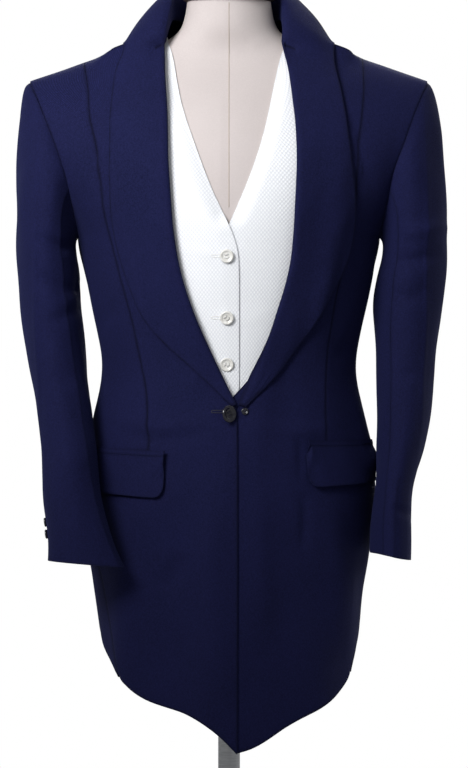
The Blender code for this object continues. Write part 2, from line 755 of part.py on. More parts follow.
def sleeve_sheet(side, part):
    """The top sleeve lies between the hindarm and forearm seams, the under sleeve behind them."""
    lines = {name: armhole_line(side, name) for name in ("front", "back")}
    columns = TOP_SLEEVE_COLUMNS if part == "top" else UNDER_SLEEVE_COLUMNS
    cuff = SLEEVE_SECTIONS[side][-1][0]
    points = []
    for step in CAP_STEPS + SLEEVE_HEIGHTS + (cuff,):
        z = SLEEVE_TOP_Z if step < 0.9 and step in CAP_STEPS else step
        hind = seam_turn(side, z, "hind")
        fore = seam_turn(side, z, "fore")
        gap = math.degrees(0.5 * SEAM_GAP / 0.05)
        turns = spread(hind + gap, fore - gap, columns + 1)
        if part == "under":
            turns = spread(fore + gap, hind + 360.0 - gap, columns + 1)
        if step in CAP_STEPS:
            points.append([cap_point(side, lines, step, turn) for turn in turns])
        else:
            points.append([sleeve_ring_point(side, z, turn) for turn in turns])
    middle = 0.0 if part == "top" else 180.0
    outward = Vector((SIDES[side] * math.cos(math.radians(middle)), 0.0, 0.0))
    normals = grid_normals(points, outward)
    share_seam_normals(side, points, normals)
    return Sheet(points, normals)


def share_seam_normals(side, points, normals):
    """Gives both sleeve panels the same direction along their seams, from the whole ring."""
    for i, row in enumerate(points):
        if i < len(CAP_STEPS):
            centre = Vector((SIDES[side] * 0.200, 0.0, row[0].z))
            flatten = 0.25
        else:
            z = max(row[0].z, SLEEVE_SECTIONS[side][-1][0])
            table = [(-line[0],) + line[1:] for line in SLEEVE_SECTIONS[side]]
            x = SIDES[side] * read_column(table, SLEEVE_COLUMNS, "x", -z)
            centre = Vector((x, read_column(table, SLEEVE_COLUMNS, "y", -z), row[0].z))
            half_x = read_column(table, SLEEVE_COLUMNS, "half_x", -z)
            half_y = read_column(table, SLEEVE_COLUMNS, "half_y", -z)
            flatten = (half_x / half_y) ** 2
        for j in (0, -1):
            radial = row[j] - centre
            normals[i][j] = Vector((radial.x, radial.y * flatten, 0.0)).normalized()


# Shawl collar
COLLAR_STATIONS = 16
COLLAR_TOP_Z = 1.310
COLLAR_POINT_Z = 0.900
COLLAR_SHOULDER_Z = 1.286
ROLL_HEIGHT = 0.0035
ROLL_RISE = 0.0034
COLLAR_LIP = 0.0035
FALL_COLUMNS = 6
# Round the neck: the roll's place, the outer edge's level and angle on the coat, the stand's height.
NECK_TURN_ROWS = 4
NECK_COLUMNS = ("right_x", "left_x", "right_y", "left_y", "z", "edge_level", "edge_angle", "stand")
COLLAR_NECK = (
    (0.0718, 0.0604, -0.0310, -0.0350, 1.323, 1.3370, 26.3, 0.006),
    (0.0706, 0.0607, -0.0292, -0.0325, 1.331, 1.3445, 26.4, 0.008),
    (0.0690, 0.0610, -0.0262, -0.0290, 1.339, 1.3500, 26.5, 0.010),
    (0.0640, 0.0585, -0.004, -0.004, 1.366, 1.3535, 153.6, 0.022),
    (0.0620, 0.0575, 0.009, 0.009, 1.375, 1.3490, 153.7, 0.029),
    (0.0585, 0.0560, 0.022, 0.022, 1.382, 1.3420, 154.5, 0.036),
    (0.0460, 0.0460, 0.045, 0.045, 1.390, 1.3185, 158.0, 0.048),
    (0.0250, 0.0250, 0.060, 0.060, 1.394, 1.3010, 168.0, 0.056),
    (0.0, 0.0, 0.065, 0.065, 1.395, 1.2945, 180.0, 0.058),
)


def collar_row(inner, edge, out, up, lip, bulge):
    """One section of the collar: the stand or lip, the roll, then the fall down to its edge."""
    width = (edge - inner).length
    scale = min(1.0, width / 0.024)
    row = [inner - up * lip, inner - up * (0.5 * lip), inner]
    row.append(inner + out * (0.0012 * scale) + up * (0.65 * ROLL_RISE * scale))
    row.append(inner + out * (0.0045 * scale) + up * (ROLL_RISE * scale))
    start = inner + out * (0.009 * scale) + up * (0.9 * ROLL_RISE * scale)
    lift = (out + up).normalized()
    for j in range(FALL_COLUMNS + 1):
        t = j / FALL_COLUMNS
        row.append(start.lerp(edge, t) + lift * (bulge * scale * 4 * t * (1 - t)))
    return row


def shawl_collar(side):
    sign = SIDES[side]
    points = []
    for station in range(COLLAR_STATIONS):
        rise = station / (COLLAR_STATIONS - 1)
        roll_z = COLLAR_BREAK_LEVEL + (COLLAR_TOP_Z - COLLAR_BREAK_LEVEL) * rise
        edge_z = COLLAR_POINT_Z + (COLLAR_SHOULDER_Z - COLLAR_POINT_Z) * rise
        roll = level_of(side, read_column(ROLL_LINE, ROLL_COLUMNS, side, roll_z), roll_z)
        edge = level_of(side, read_column(COLLAR_EDGE, COLLAR_EDGE_COLUMNS, side, edge_z), edge_z)
        up = coat_normal(side, *roll)
        inner = coat_point(side, *roll) + up * ROLL_HEIGHT
        lift = COLLAR_WALL + COLLAR_GAP + SHOULDER_LIFT * smooth_step(1.26, 1.30, edge_z)
        end = coat_point(side, *edge) + coat_normal(side, *edge) * lift
        out = end - inner
        out = (out - up * out.dot(up)).normalized()
        points.append(collar_row(inner, end, out, up, COLLAR_LIP, 0.003))
    front_out = out
    front_up = up
    for index, row in enumerate(COLLAR_NECK):
        values = dict(zip(NECK_COLUMNS, row))
        inner = Vector((sign * values[side + "_x"], values[side + "_y"], values["z"]))
        edge = (values["edge_level"], values["edge_angle"])
        lift = COLLAR_WALL + COLLAR_GAP + SHOULDER_LIFT
        end = coat_point(side, *edge) + coat_normal(side, *edge) * lift
        radial = Vector((inner.x, inner.y, 0.0)).normalized()
        blend = smooth_step(0, NECK_TURN_ROWS, index + 1)
        out = front_out.lerp(radial, blend).normalized()
        up = front_up.lerp(Vector((0.0, 0.0, 1.0)), blend).normalized()
        points.append(collar_row(inner, end, out, up, values["stand"], 0.007))
    for point_index, point in enumerate(points[-1]):
        points[-1][point_index] = Vector((sign * 0.5 * SEAM_GAP, point.y, point.z))
    normals = grid_normals(points, Vector((0.0, -1.0, 0.2)))
    for j, normal in enumerate(normals[-1]):
        normals[-1][j] = Vector((0.0, normal.y, normal.z)).normalized()
    return Sheet(points, normals)


# Pockets: the flap's front end and far end as angles on the coat, and heights along it
FLAP_ENDS = {"right": (25.3, 79.0), "left": (31.8, 84.0)}
WELT_TOP = {"right": (0.8500, 0.8565), "left": (0.8617, 0.8625)}
WELT_HEIGHT = 0.0058
FLAP_BOTTOM = {"right": (0.7975, 0.8070), "left": (0.8095, 0.8160)}
FLAP_CORNER = 0.011
FLAP_COLUMNS = 13
FLAP_ROWS = 4
FLAP_FLARE = 0.0022


def pocket_line(heights, share):
    return heights[0] + (heights[1] - heights[0]) * share


def pocket_sheet(side, part):
    """The welt, or the flap that hangs from under it with a rounded front corner."""
    start, end = FLAP_ENDS[side]
    shares = [0.0, 0.03, 0.07] + spread(0.13, 1.0, FLAP_COLUMNS - 3)
    length = 0.135
    rows = 2 if part == "welt" else FLAP_ROWS + 1
    points = []
    normals = []
    for i in range(rows):
        fall = i / (rows - 1)
        row = []
        row_normals = []
        for share in shares:
            angle = start + (end - start) * share
            top = pocket_line(WELT_TOP[side], share)
            bottom = top - WELT_HEIGHT
            if part == "flap":
                top = bottom - SEAM_GAP
                bottom = pocket_line(FLAP_BOTTOM[side], share)
                reach = max(FLAP_CORNER - share * length, 0.0)
                bottom += FLAP_CORNER - math.sqrt(FLAP_CORNER ** 2 - reach ** 2)
            level = top + (bottom - top) * fall
            flare = FLAP_FLARE * fall if part == "flap" else 0.0
            normal = coat_normal(side, level, angle)
            lift = LAYER_GAP + FLAP_WALL + flare
            row.append(coat_point(side, level, angle) + normal * lift)
            row_normals.append(normal)
        points.append(row)
        normals.append(row_normals)
    return Sheet(points, normals)


# Waistcoat
WAISTCOAT_DEPTH = 0.0042
WAISTCOAT_LAP = 0.0115
WAISTCOAT_LEVELS = (0.862, 0.905, 0.945, 0.985, 1.025, 1.060, 1.082, 1.107, 1.140, 1.175, 1.215,
                    1.255, 1.302, 1.324, 1.340, 1.354)
WAISTCOAT_COLUMNS = 7
NECK_V_COLUMNS = ("z", "right", "left")
NECK_V = (
    (1.060, -0.0115, -0.0115),
    (1.082, -0.0100, -0.0110),
    (1.107, 0.0000, 0.0000),
    (1.150, 0.0215, 0.0190),
    (1.200, 0.0390, 0.0370),
    (1.255, 0.0575, 0.0490),
    (1.302, 0.0640, 0.0585),
    (1.330, 0.0720, 0.0690),
)
WAISTCOAT_ARMHOLE_COLUMNS = ("level", "angle")
WAISTCOAT_ARMHOLE = ((1.050, 89.0), (1.092, 74.0), (1.130, 57.0), (1.180, 42.0), (1.230, 34.0),
                     (1.280, 30.0), (1.354, 28.0))
WAISTCOAT_NECK_LEVEL = 1.302
WAISTCOAT_NECK_ANGLE = 13.0


def waistcoat_outer_angle(level):
    if level < 1.050:
        return 90.0 - gap_angle(level)
    return read_column(WAISTCOAT_ARMHOLE, WAISTCOAT_ARMHOLE_COLUMNS, "angle", level)


def waistcoat_front(side):
    places = []
    for level in WAISTCOAT_LEVELS:
        start = angle_at(side, level, NECK_V, NECK_V_COLUMNS)
        end = waistcoat_outer_angle(level)
        row = spread(start, end, WAISTCOAT_COLUMNS + 1)
        places.append([(level, angle) for angle in row])
    points, normals = coat_grid(side, places)
    sheet = Sheet(points, normals)
    fit_shoulder(sheet, -0.5 * SEAM_GAP)
    sheet.points = sheet.moved(-WAISTCOAT_DEPTH)
    if side == "right":
        height = WAISTCOAT_WALL + LAYER_GAP
        for i, row in enumerate(sheet.points):
            for j, point in enumerate(row):
                near = 1.0 - smooth_step(0.034, 0.060, -point.x)
                near *= 1.0 - smooth_step(1.10, 1.15, point.z)
                row[j] = point + sheet.normals[i][j] * (height * near)
    return sheet


def waistcoat_back():
    """One piece from side seam to side seam, with the back of the neck left out of it."""
    points = []
    normals = []
    cells = []
    for i, level in enumerate(WAISTCOAT_LEVELS):
        above = level > WAISTCOAT_NECK_LEVEL + 0.001
        outer = 180.0 - waistcoat_outer_angle(level)
        halves = []
        for side in ("right", "left"):
            if above:
                share = smooth_step(WAISTCOAT_NECK_LEVEL, SHOULDER_LEVEL, level)
                neck = WAISTCOAT_NECK_ANGLE
                neck += (SHOULDER_NECK_ANGLE - WAISTCOAT_NECK_ANGLE) * share
                angles = spread(outer, 180.0 - neck, WAISTCOAT_COLUMNS)
            else:
                angles = spread(outer, 180.0 - WAISTCOAT_NECK_ANGLE, WAISTCOAT_COLUMNS)
            half = coat_grid(side, [[(level, angle) for angle in angles]])
            halves.append((half[0][0], half[1][0]))
        middle = coat_grid("right", [[(level, 180.0)]])
        row = halves[0][0] + middle[0][0] + halves[1][0][::-1]
        points.append(row)
        normals.append(halves[0][1] + middle[1][0] + halves[1][1][::-1])
        if i + 1 < len(WAISTCOAT_LEVELS):
            next_above = WAISTCOAT_LEVELS[i + 1] > WAISTCOAT_NECK_LEVEL + 0.001
            for j in range(len(row) - 1):
                if not next_above or j not in (WAISTCOAT_COLUMNS - 1, WAISTCOAT_COLUMNS):
                    cells.append((i, j))
    sheet = Sheet(points, normals, cells)
    fit_shoulder(sheet, 0.5 * SEAM_GAP)
    sheet.points = sheet.moved(-WAISTCOAT_DEPTH)
    return sheet


# Buttons: profiles of radius and height from the back face to the front
BUTTON_SEGMENTS = 16
FRONT_BUTTON = ((0.0, 0.0), (0.0070, 0.0), (0.0098, 0.0014), (0.0102, 0.0026), (0.0096, 0.0038),
                (0.0084, 0.0038), (0.0070, 0.0024), (0.0, 0.0018))
LINK_BUTTON = ((0.0, 0.0), (0.0034, 0.0), (0.0042, 0.0010), (0.0040, 0.0022), (0.0030, 0.0024),
               (0.0, 0.0018))
CUFF_BUTTON = ((0.0, 0.0), (0.0044, 0.0), (0.0055, 0.0010), (0.0054, 0.0024), (0.0044, 0.0028),
               (0.0, 0.0019))
PEARL_BUTTON = ((0.0, 0.0), (0.0064, 0.0), (0.0079, 0.0010), (0.0080, 0.0022), (0.0072, 0.0028),
                (0.0060, 0.0022), (0.0, 0.0018))
FRONT_BUTTON_TURN = 40.0
BUTTON_SINK = 0.0009
WAISTCOAT_BUTTON_X = -0.0023
WAISTCOAT_BUTTONS_Z = (1.0709, 1.0013, 0.9485)
CUFF_BUTTONS_Z = (0.7690, 0.7545)
CUFF_BUTTON_TURN = {"right": -9.0, "left": -74.0}


def button(name, profile, place, direction, finish):
    """A turned button whose back face lies at a place, with its front turned outwards."""
    bm = bmesh.new()
    points = [bm.verts.new((radius, 0.0, height)) for radius, height in profile]
    edges = [bm.edges.new((a, b)) for a, b in zip(points, points[1:])]
    bmesh.ops.spin(bm, geom=points + edges, cent=(0, 0, 0), axis=(0, 0, 1), steps=BUTTON_SEGMENTS,
                   angle=2 * math.pi, use_merge=True)
    bmesh.ops.remove_doubles(bm, verts=bm.verts, dist=0.00001)
    bmesh.ops.recalc_face_normals(bm, faces=bm.faces)
    piece = add_object(name, bm, finish)
    piece.rotation_euler = direction.to_track_quat("Z", "Y").to_euler()
    piece.location = place


def front_place(tree, x, z):
    """Where the surface shows at one place, seen from the front."""
    place, direction, _, _ = tree.ray_cast(Vector((x, -1.0, z)), Vector((0.0, 1.0, 0.0)))
    if direction.y > 0:
        direction = -direction
    return place, direction


def build_front_buttons(right_tree, left_tree):
    place, direction = front_place(right_tree, -0.0006, BUTTON_LEVEL)
    dip = FRONT_BUTTON[3][0] * math.sin(math.radians(FRONT_BUTTON_TURN))
    turn = math.radians(FRONT_BUTTON_TURN)
    tilted = Vector((math.sin(turn), -math.cos(turn), 0.05)).normalized()
    button("front_button", FRONT_BUTTON, place + direction * (dip - BUTTON_SINK), tilted, DARK_HORN)
    place, direction = front_place(left_tree, 0.0182, BUTTON_LEVEL + 0.0035)
    button("link_button", LINK_BUTTON, place + direction * 0.0005, direction, DARK_HORN)


def build_waistcoat_buttons(tree):
    for index, z in enumerate(WAISTCOAT_BUTTONS_Z):
        place, direction = front_place(tree, WAISTCOAT_BUTTON_X, z)
        name = "waistcoat_button_" + str(index + 1)
        button(name, PEARL_BUTTON, place + direction * 0.0005, direction, PEARL)


def build_cuff_buttons(side, tree):
    for index, z in enumerate(CUFF_BUTTONS_Z):
        turn = CUFF_BUTTON_TURN[side]
        out = sleeve_ring_point(side, z, turn)
        place, direction, _, _ = tree.find_nearest(out)
        centre_y = (sleeve_ring_point(side, z, 90.0).y + sleeve_ring_point(side, z, -90.0).y) / 2
        centre_x = (sleeve_ring_point(side, z, 0.0).x + sleeve_ring_point(side, z, 180.0).x) / 2
        if direction.dot(Vector((out.x - centre_x, out.y - centre_y, 0.0))) < 0:
            direction = -direction
        name = "cuff_button_" + side + "_" + str(index + 1)
        button(name, CUFF_BUTTON, place + direction * 0.0006, direction, DARK_HORN)


def build_waistcoat(trees):
    """The back, then the left front, then the right front that laps over it."""
    back = waistcoat_back()
    back.keep_off(trees, WAISTCOAT_WALL, FORM_GAP)
    add_object("waistcoat_back", wall_mesh(back, WAISTCOAT_WALL), PIQUE)
    left = waistcoat_front("left")
    left.keep_off(trees, WAISTCOAT_WALL, FORM_GAP)
    add_object("waistcoat_front_left", wall_mesh(left, WAISTCOAT_WALL), PIQUE)
    right = waistcoat_front("right")
    right.keep_off(trees, WAISTCOAT_WALL, FORM_GAP)
    right.keep_off([left.tree()], WAISTCOAT_WALL, BODY_GAP, LAP_REACH)
    add_object("waistcoat_front_right", wall_mesh(right, WAISTCOAT_WALL), PIQUE)
    build_waistcoat_buttons(right.tree()[0])
    return [back.tree(), left.tree(), right.tree()]


def build_coat(trees):
    fronts = {}
    for side in ("left", "right"):
        front = coat_front(side)
        panels = [("coat_front_" + side, front), ("coat_side_" + side, coat_side(side))]
        panels.append(("coat_back_" + side, coat_back(side)))
        for name, sheet in panels:
            sheet.keep_off(trees, COAT_WALL, BODY_GAP)
            if name == "coat_front_right":
                sheet.keep_off([fronts["left"][0]], COAT_WALL, LAYER_GAP, LAP_REACH)
            add_object(name, wall_mesh(sheet, COAT_WALL), WOOL)
        fronts[side] = (front.tree(), panels[1][1].tree(), panels[2][1].tree())
    build_front_buttons(fronts["right"][0][0], fronts["left"][0][0])
    return fronts


def build_coat_trim(panels):
    for side in SIDES:
        collar = shawl_collar(side)
        collar.keep_off(panels[side], COLLAR_WALL, COLLAR_GAP, rounds=5, middles=True)
        add_object("shawl_collar_" + side, wall_mesh(collar, COLLAR_WALL), WOOL)
        for part in ("welt", "flap"):
            sheet = pocket_sheet(side, part)
            sheet.keep_off(panels[side][:2], FLAP_WALL, LAYER_GAP + 0.0003)
            add_object("pocket_" + part + "_" + side, wall_mesh(sheet, FLAP_WALL), WOOL)


def build_sleeves():
    for side in SIDES:
        sheets = {part: sleeve_sheet(side, part) for part in ("top", "under")}
        for part, sheet in sheets.items():
            add_object(part + "_sleeve_" + side, wall_mesh(sheet, SLEEVE_WALL), WOOL)
        build_cuff_buttons(side, sheets["top"].tree()[0])


def main():
    clear_scene()
    form_tree = build_form()
    build_stand()
    waistcoat_trees = build_waistcoat([form_tree])
    panels = build_coat([form_tree] + waistcoat_trees)
    build_coat_trim(panels)
    build_sleeves()


main()
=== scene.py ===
# Day suit on a dress form: navy coat with a shawl collar over a white dotted waistcoat.
import bpy
import bmesh
import numpy as np
from math import cos, pi, radians, sin
from mathutils import Matrix, Vector, noise
from mathutils.bvhtree import BVHTree
from mathutils.kdtree import KDTree


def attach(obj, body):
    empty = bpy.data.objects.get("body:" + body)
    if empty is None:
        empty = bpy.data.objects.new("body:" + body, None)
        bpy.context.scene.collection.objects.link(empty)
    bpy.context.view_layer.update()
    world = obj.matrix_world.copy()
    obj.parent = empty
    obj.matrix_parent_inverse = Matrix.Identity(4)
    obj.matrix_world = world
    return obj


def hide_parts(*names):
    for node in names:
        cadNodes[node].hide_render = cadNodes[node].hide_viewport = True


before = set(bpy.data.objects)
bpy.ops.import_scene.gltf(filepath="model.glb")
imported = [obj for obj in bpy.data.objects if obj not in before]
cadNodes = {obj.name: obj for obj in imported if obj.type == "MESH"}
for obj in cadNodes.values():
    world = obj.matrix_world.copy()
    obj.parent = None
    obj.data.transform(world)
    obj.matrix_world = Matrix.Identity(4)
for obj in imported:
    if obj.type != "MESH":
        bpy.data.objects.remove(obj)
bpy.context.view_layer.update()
print("frame loaded:", len(cadNodes), "solids")

# camera, lights and floor, in metres, degrees and watts
studio = {
    "cameraPlace": (0.0057, -6.0, 0.9266),
    "frameHeight": 0.8828,  # what the long side of the frame takes in at the coat
    "sensor": 36.0,
    "floorSize": 80.0,
    "keyPlace": (-0.85, -1.25, 1.8),  # close by at the upper left, so that it falls off to the lower right
    "keyAim": (-0.08, 0.0, 1.285),
    "keyPower": 158.0,
    "keySize": 0.45,
    "keySpread": 56.0,
    "fillStrength": 0.12,
    "fillTurn": (52.0, 0.0, 12.0),
    "backStrength": 1.7,
    "backTurn": (58.0, 0.0, 172.0),
    "sideStrength": 0.5,
    "sideTurn": (66.0, 0.0, 118.0),
    "sunAngle": 34.0,
    "surround": 0.25,  # soft light from all round
}


def setStudio():
    camera = bpy.data.objects.new("studioCamera", bpy.data.cameras.new("studioCamera"))
    bpy.context.scene.collection.objects.link(camera)
    camera.location = studio["cameraPlace"]
    camera.rotation_euler = (radians(90), 0, 0)
    camera.data.sensor_width = studio["sensor"]
    camera.data.lens = studio["sensor"] * -studio["cameraPlace"][1] / studio["frameHeight"]
    camera.data.clip_end = 200
    bpy.context.scene.camera = camera
    key = bpy.data.lights.new("keyLight", "SPOT")
    key.energy = studio["keyPower"]
    key.shadow_soft_size = studio["keySize"]
    key.spot_size = radians(studio["keySpread"])
    key.spot_blend = 1.0
    keyLamp = bpy.data.objects.new("keyLight", key)
    keyLamp.location = studio["keyPlace"]
    aim = Vector(studio["keyAim"]) - Vector(studio["keyPlace"])
    keyLamp.rotation_euler = aim.to_track_quat("-Z", "Y").to_euler()
    bpy.context.scene.collection.objects.link(keyLamp)
    for name, strength, turn in (
        ("fillLight", studio["fillStrength"], studio["fillTurn"]),
        ("backLight", studio["backStrength"], studio["backTurn"]),
        ("sideLight", studio["sideStrength"], studio["sideTurn"]),
    ):
        light = bpy.data.lights.new(name, "SUN")
        light.energy = strength
        light.angle = radians(studio["sunAngle"])
        lamp = bpy.data.objects.new(name, light)
        lamp.rotation_euler = [radians(a) for a in turn]
        bpy.context.scene.collection.objects.link(lamp)
    bpy.context.scene.view_settings.view_transform = "Standard"

    world = bpy.data.worlds.new("studioRoom")
    bpy.context.scene.world = world
    world.use_nodes = True
    tree = world.node_tree
    tree.nodes.clear()
    seen = tree.nodes.new("ShaderNodeBackground")
    seen.inputs["Color"].default_value = (1, 1, 1, 1)
    lit = tree.nodes.new("ShaderNodeBackground")
    lit.inputs["Color"].default_value = (0.95, 0.97, 1, 1)
    lit.inputs["Strength"].default_value = studio["surround"]
    path = tree.nodes.new("ShaderNodeLightPath")
    mix = tree.nodes.new("ShaderNodeMixShader")
    out = tree.nodes.new("ShaderNodeOutputWorld")
    tree.links.new(path.outputs["Is Camera Ray"], mix.inputs[0])
    tree.links.new(lit.outputs[0], mix.inputs[1])
    tree.links.new(seen.outputs[0], mix.inputs[2])
    tree.links.new(mix.outputs[0], out.inputs["Surface"])

    bm = bmesh.new()
    bmesh.ops.create_grid(bm, x_segments=4, y_segments=4, size=studio["floorSize"])
    floor = meshObject("studioFloor", bm)
    paint = bpy.data.materials.new("palePaper")
    paint.use_nodes = True
    tree = paint.node_tree
    shader = tree.nodes["Principled BSDF"]
    shader.inputs["Base Color"].default_value = (0.5, 0.5, 0.5, 1)
    shader.inputs["Roughness"].default_value = 0.9
    glow = tree.nodes.new("ShaderNodeEmission")
    path = tree.nodes.new("ShaderNodeLightPath")
    mix = tree.nodes.new("ShaderNodeMixShader")
    out = tree.nodes["Material Output"]
    tree.links.new(path.outputs["Is Camera Ray"], mix.inputs[0])
    tree.links.new(shader.outputs[0], mix.inputs[1])
    tree.links.new(glow.outputs[0], mix.inputs[2])
    tree.links.new(mix.outputs[0], out.inputs["Surface"])
    floor.data.materials.append(paint)


def meshObject(name, bm):
    mesh = bpy.data.meshes.new(name)
    bm.to_mesh(mesh)
    bm.free()
    for face in mesh.polygons:
        face.use_smooth = True
    piece = bpy.data.objects.new(name, mesh)
    bpy.context.scene.collection.objects.link(piece)
    return piece


setStudio()
print("studio set")


# a shader node with its inputs linked or set
def addNode(tree, kind, inputs=None, **settings):
    node = tree.nodes.new(kind)
    for key, value in settings.items():
        setattr(node, key, value)
    for key, value in (inputs or {}).items():
        if isinstance(value, bpy.types.NodeSocket):
            tree.links.new(value, node.inputs[key])
        else:
            node.inputs[key].default_value = value
    return node


def mathNode(tree, operation, first, second=0.0, clamp=False):
    inputs = {0: first, 1: second}
    return addNode(tree, "ShaderNodeMath", inputs, operation=operation, use_clamp=clamp).outputs[0]


def newGroup(name, takes, gives):
    group = bpy.data.node_groups.new(name, "ShaderNodeTree")
    for label, kind, value in takes:
        socket = group.interface.new_socket(name=label, in_out="INPUT", socket_type="NodeSocket" + kind)
        if value is not None:
            socket.default_value = value
    for label in gives:
        group.interface.new_socket(name=label, in_out="OUTPUT", socket_type="NodeSocketFloat")
    start = group.nodes.new("NodeGroupInput")
    end = group.nodes.new("NodeGroupOutput")
    return group, start.outputs, end.inputs


def useGroup(tree, group, inputs):
    return addNode(tree, "ShaderNodeGroup", inputs, node_tree=group).outputs


# slow mottle of tone, partly wear and heather and partly painted sheen variation, and fine flecks that
# every cloth has
def makeWearAndSheenGroup():
    group, take, give = newGroup(
        "clothWearAndSheen",
        [("Vector", "Vector", None), ("Slow Scale", "Float", 9.0), ("Fleck Scale", "Float", 620.0)],
        ["Slow", "Fleck"],
    )
    slow = addNode(
        group,
        "ShaderNodeTexNoise",
        {"Vector": take["Vector"], "Scale": take["Slow Scale"], "Detail": 3.0, "Roughness": 0.55},
    )
    fleckAndRaisedLight = addNode(
        group,
        "ShaderNodeTexNoise",
        {"Vector": take["Vector"], "Scale": take["Fleck Scale"], "Detail": 2.0, "Roughness": 0.6},
    )
    group.links.new(slow.outputs[0], give["Slow"])
    group.links.new(fleckAndRaisedLight.outputs[0], give["Fleck"])
    return group


# diagonal ribs cut by the crossing yarn, in UV metres
def makeTwillGroup():
    group, take, give = newGroup(
        "twillWeave", [("Vector", "Vector", None), ("Pitch", "Float", 0.0012)], ["Height"]
    )
    split = addNode(group, "ShaderNodeSeparateXYZ", {0: take["Vector"]})
    turn = mathNode(group, "DIVIDE", 2 * pi, take["Pitch"])
    run = mathNode(group, "MULTIPLY", split.outputs[0], turn)
    rise = mathNode(group, "MULTIPLY", split.outputs[1], turn)
    rib = mathNode(group, "SINE", mathNode(group, "ADD", run, rise))
    yarn = mathNode(group, "SINE", mathNode(group, "SUBTRACT", run, rise))
    ribHeight = mathNode(group, "MULTIPLY_ADD", rib, 0.36)
    ribHeight.node.inputs[2].default_value = 0.5
    yarnHeight = mathNode(group, "MULTIPLY", yarn, 0.14)
    group.links.new(mathNode(group, "ADD", ribHeight, yarnHeight), give["Height"])
    return group


# rows of raised dots set between each other
def makeDotGroup():
    group, take, give = newGroup(
        "piqueDots",
        [("Vector", "Vector", None), ("Pitch", "Float", 0.003), ("Dot", "Float", 0.34)],
        ["Height"],
    )
    size = mathNode(group, "DIVIDE", 1.0, take["Pitch"])
    place = addNode(group, "ShaderNodeVectorMath", {0: take["Vector"], "Scale": size}, operation="SCALE")
    nearest = None
    for offset in (0.0, 0.5):
        moved = addNode(group, "ShaderNodeVectorMath", {0: place.outputs[0], 1: (offset, offset, 0)})
        cell = addNode(group, "ShaderNodeVectorMath", {0: moved.outputs[0]}, operation="FRACTION")
        reach = addNode(
            group, "ShaderNodeVectorMath", {0: cell.outputs[0], 1: (0.5, 0.5, 0)}, operation="DISTANCE"
        )
        length = reach.outputs["Value"]
        nearest = length if nearest is None else mathNode(group, "MINIMUM", nearest, length)
    dot = mathNode(group, "SUBTRACT", 1.0, mathNode(group, "DIVIDE", nearest, take["Dot"]), clamp=True)
    group.links.new(mathNode(group, "SMOOTH_MIN", dot, 0.7), give["Height"])
    return group


# knit loops in columns
def makeKnitGroup():
    group, take, give = newGroup(
        "jerseyKnit", [("Vector", "Vector", None), ("Pitch", "Float", 0.0011)], ["Height"]
    )
    split = addNode(group, "ShaderNodeSeparateXYZ", {0: take["Vector"]})
    turn = mathNode(group, "DIVIDE", pi, take["Pitch"])
    wave = mathNode(group, "SINE", mathNode(group, "MULTIPLY", split.outputs[0], turn))
    column = mathNode(group, "ABSOLUTE", wave)
    bend = mathNode(group, "MULTIPLY", column, 1.3)
    rise = mathNode(group, "MULTIPLY", split.outputs[1], mathNode(group, "MULTIPLY", turn, 2.0))
    loop = mathNode(group, "SINE", mathNode(group, "ADD", rise, bend))
    both = mathNode(group, "MULTIPLY", column, mathNode(group, "MULTIPLY", loop, 0.5))
    group.links.new(mathNode(group, "ADD", both, 0.5), give["Height"])
    return group


# grain drawn out along one direction, for wood, horn and steel
def makeGrainGroup():
    group, take, give = newGroup(
        "drawnGrain",
        [("Vector", "Vector", None), ("Stretch", "Vector", (1.0, 1.0, 1.0)), ("Scale", "Float", 40.0)],
        ["Grain", "Fine"],
    )
    place = addNode(
        group, "ShaderNodeVectorMath", {0: take["Vector"], 1: take["Stretch"]}, operation="MULTIPLY"
    )
    grain = addNode(
        group,
        "ShaderNodeTexNoise",
        {
            "Vector": place.outputs[0],
            "Scale": take["Scale"],
            "Detail": 5.0,
            "Roughness": 0.6,
            "Distortion": 0.6,
        },
    )
    finer = mathNode(group, "MULTIPLY", take["Scale"], 6.0)
    fine = addNode(
        group, "ShaderNodeTexNoise", {"Vector": place.outputs[0], "Scale": finer, "Detail": 3.0}
    )
    group.links.new(grain.outputs[0], give["Grain"])
    group.links.new(fine.outputs[0], give["Fine"])
    return group


wearAndSheenGroup = makeWearAndSheenGroup()
twillGroup = makeTwillGroup()
dotGroup = makeDotGroup()
knitGroup = makeKnitGroup()
grainGroup = makeGrainGroup()


def blendColours(tree, factor, low, high):
    node = addNode(tree, "ShaderNodeMix", data_type="RGBA")
    for key, value in ((0, factor), (6, low), (7, high)):
        if isinstance(value, bpy.types.NodeSocket):
            tree.links.new(value, node.inputs[key])
        else:
            node.inputs[key].default_value = value if key == 0 else (*value, 1)
    return node.outputs[2]


def spread(tree, value, low, high):
    node = addNode(tree, "ShaderNodeMapRange", {"Value": value, "To Min": low, "To Max": high})
    return node.outputs[0]


def startMaterial(name, **shaderValues):
    material = bpy.data.materials.new(name)
    material.use_nodes = True
    tree = material.node_tree
    shader = tree.nodes["Principled BSDF"]
    for label, value in shaderValues.items():
        shader.inputs[label.replace("_", " ")].default_value = value
    return material, tree, shader


def addBump(tree, shader, height, strength, distance):
    bump = addNode(tree, "ShaderNodeBump", {"Height": height, "Strength": strength, "Distance": distance})
    tree.links.new(bump.outputs[0], shader.inputs["Normal"])


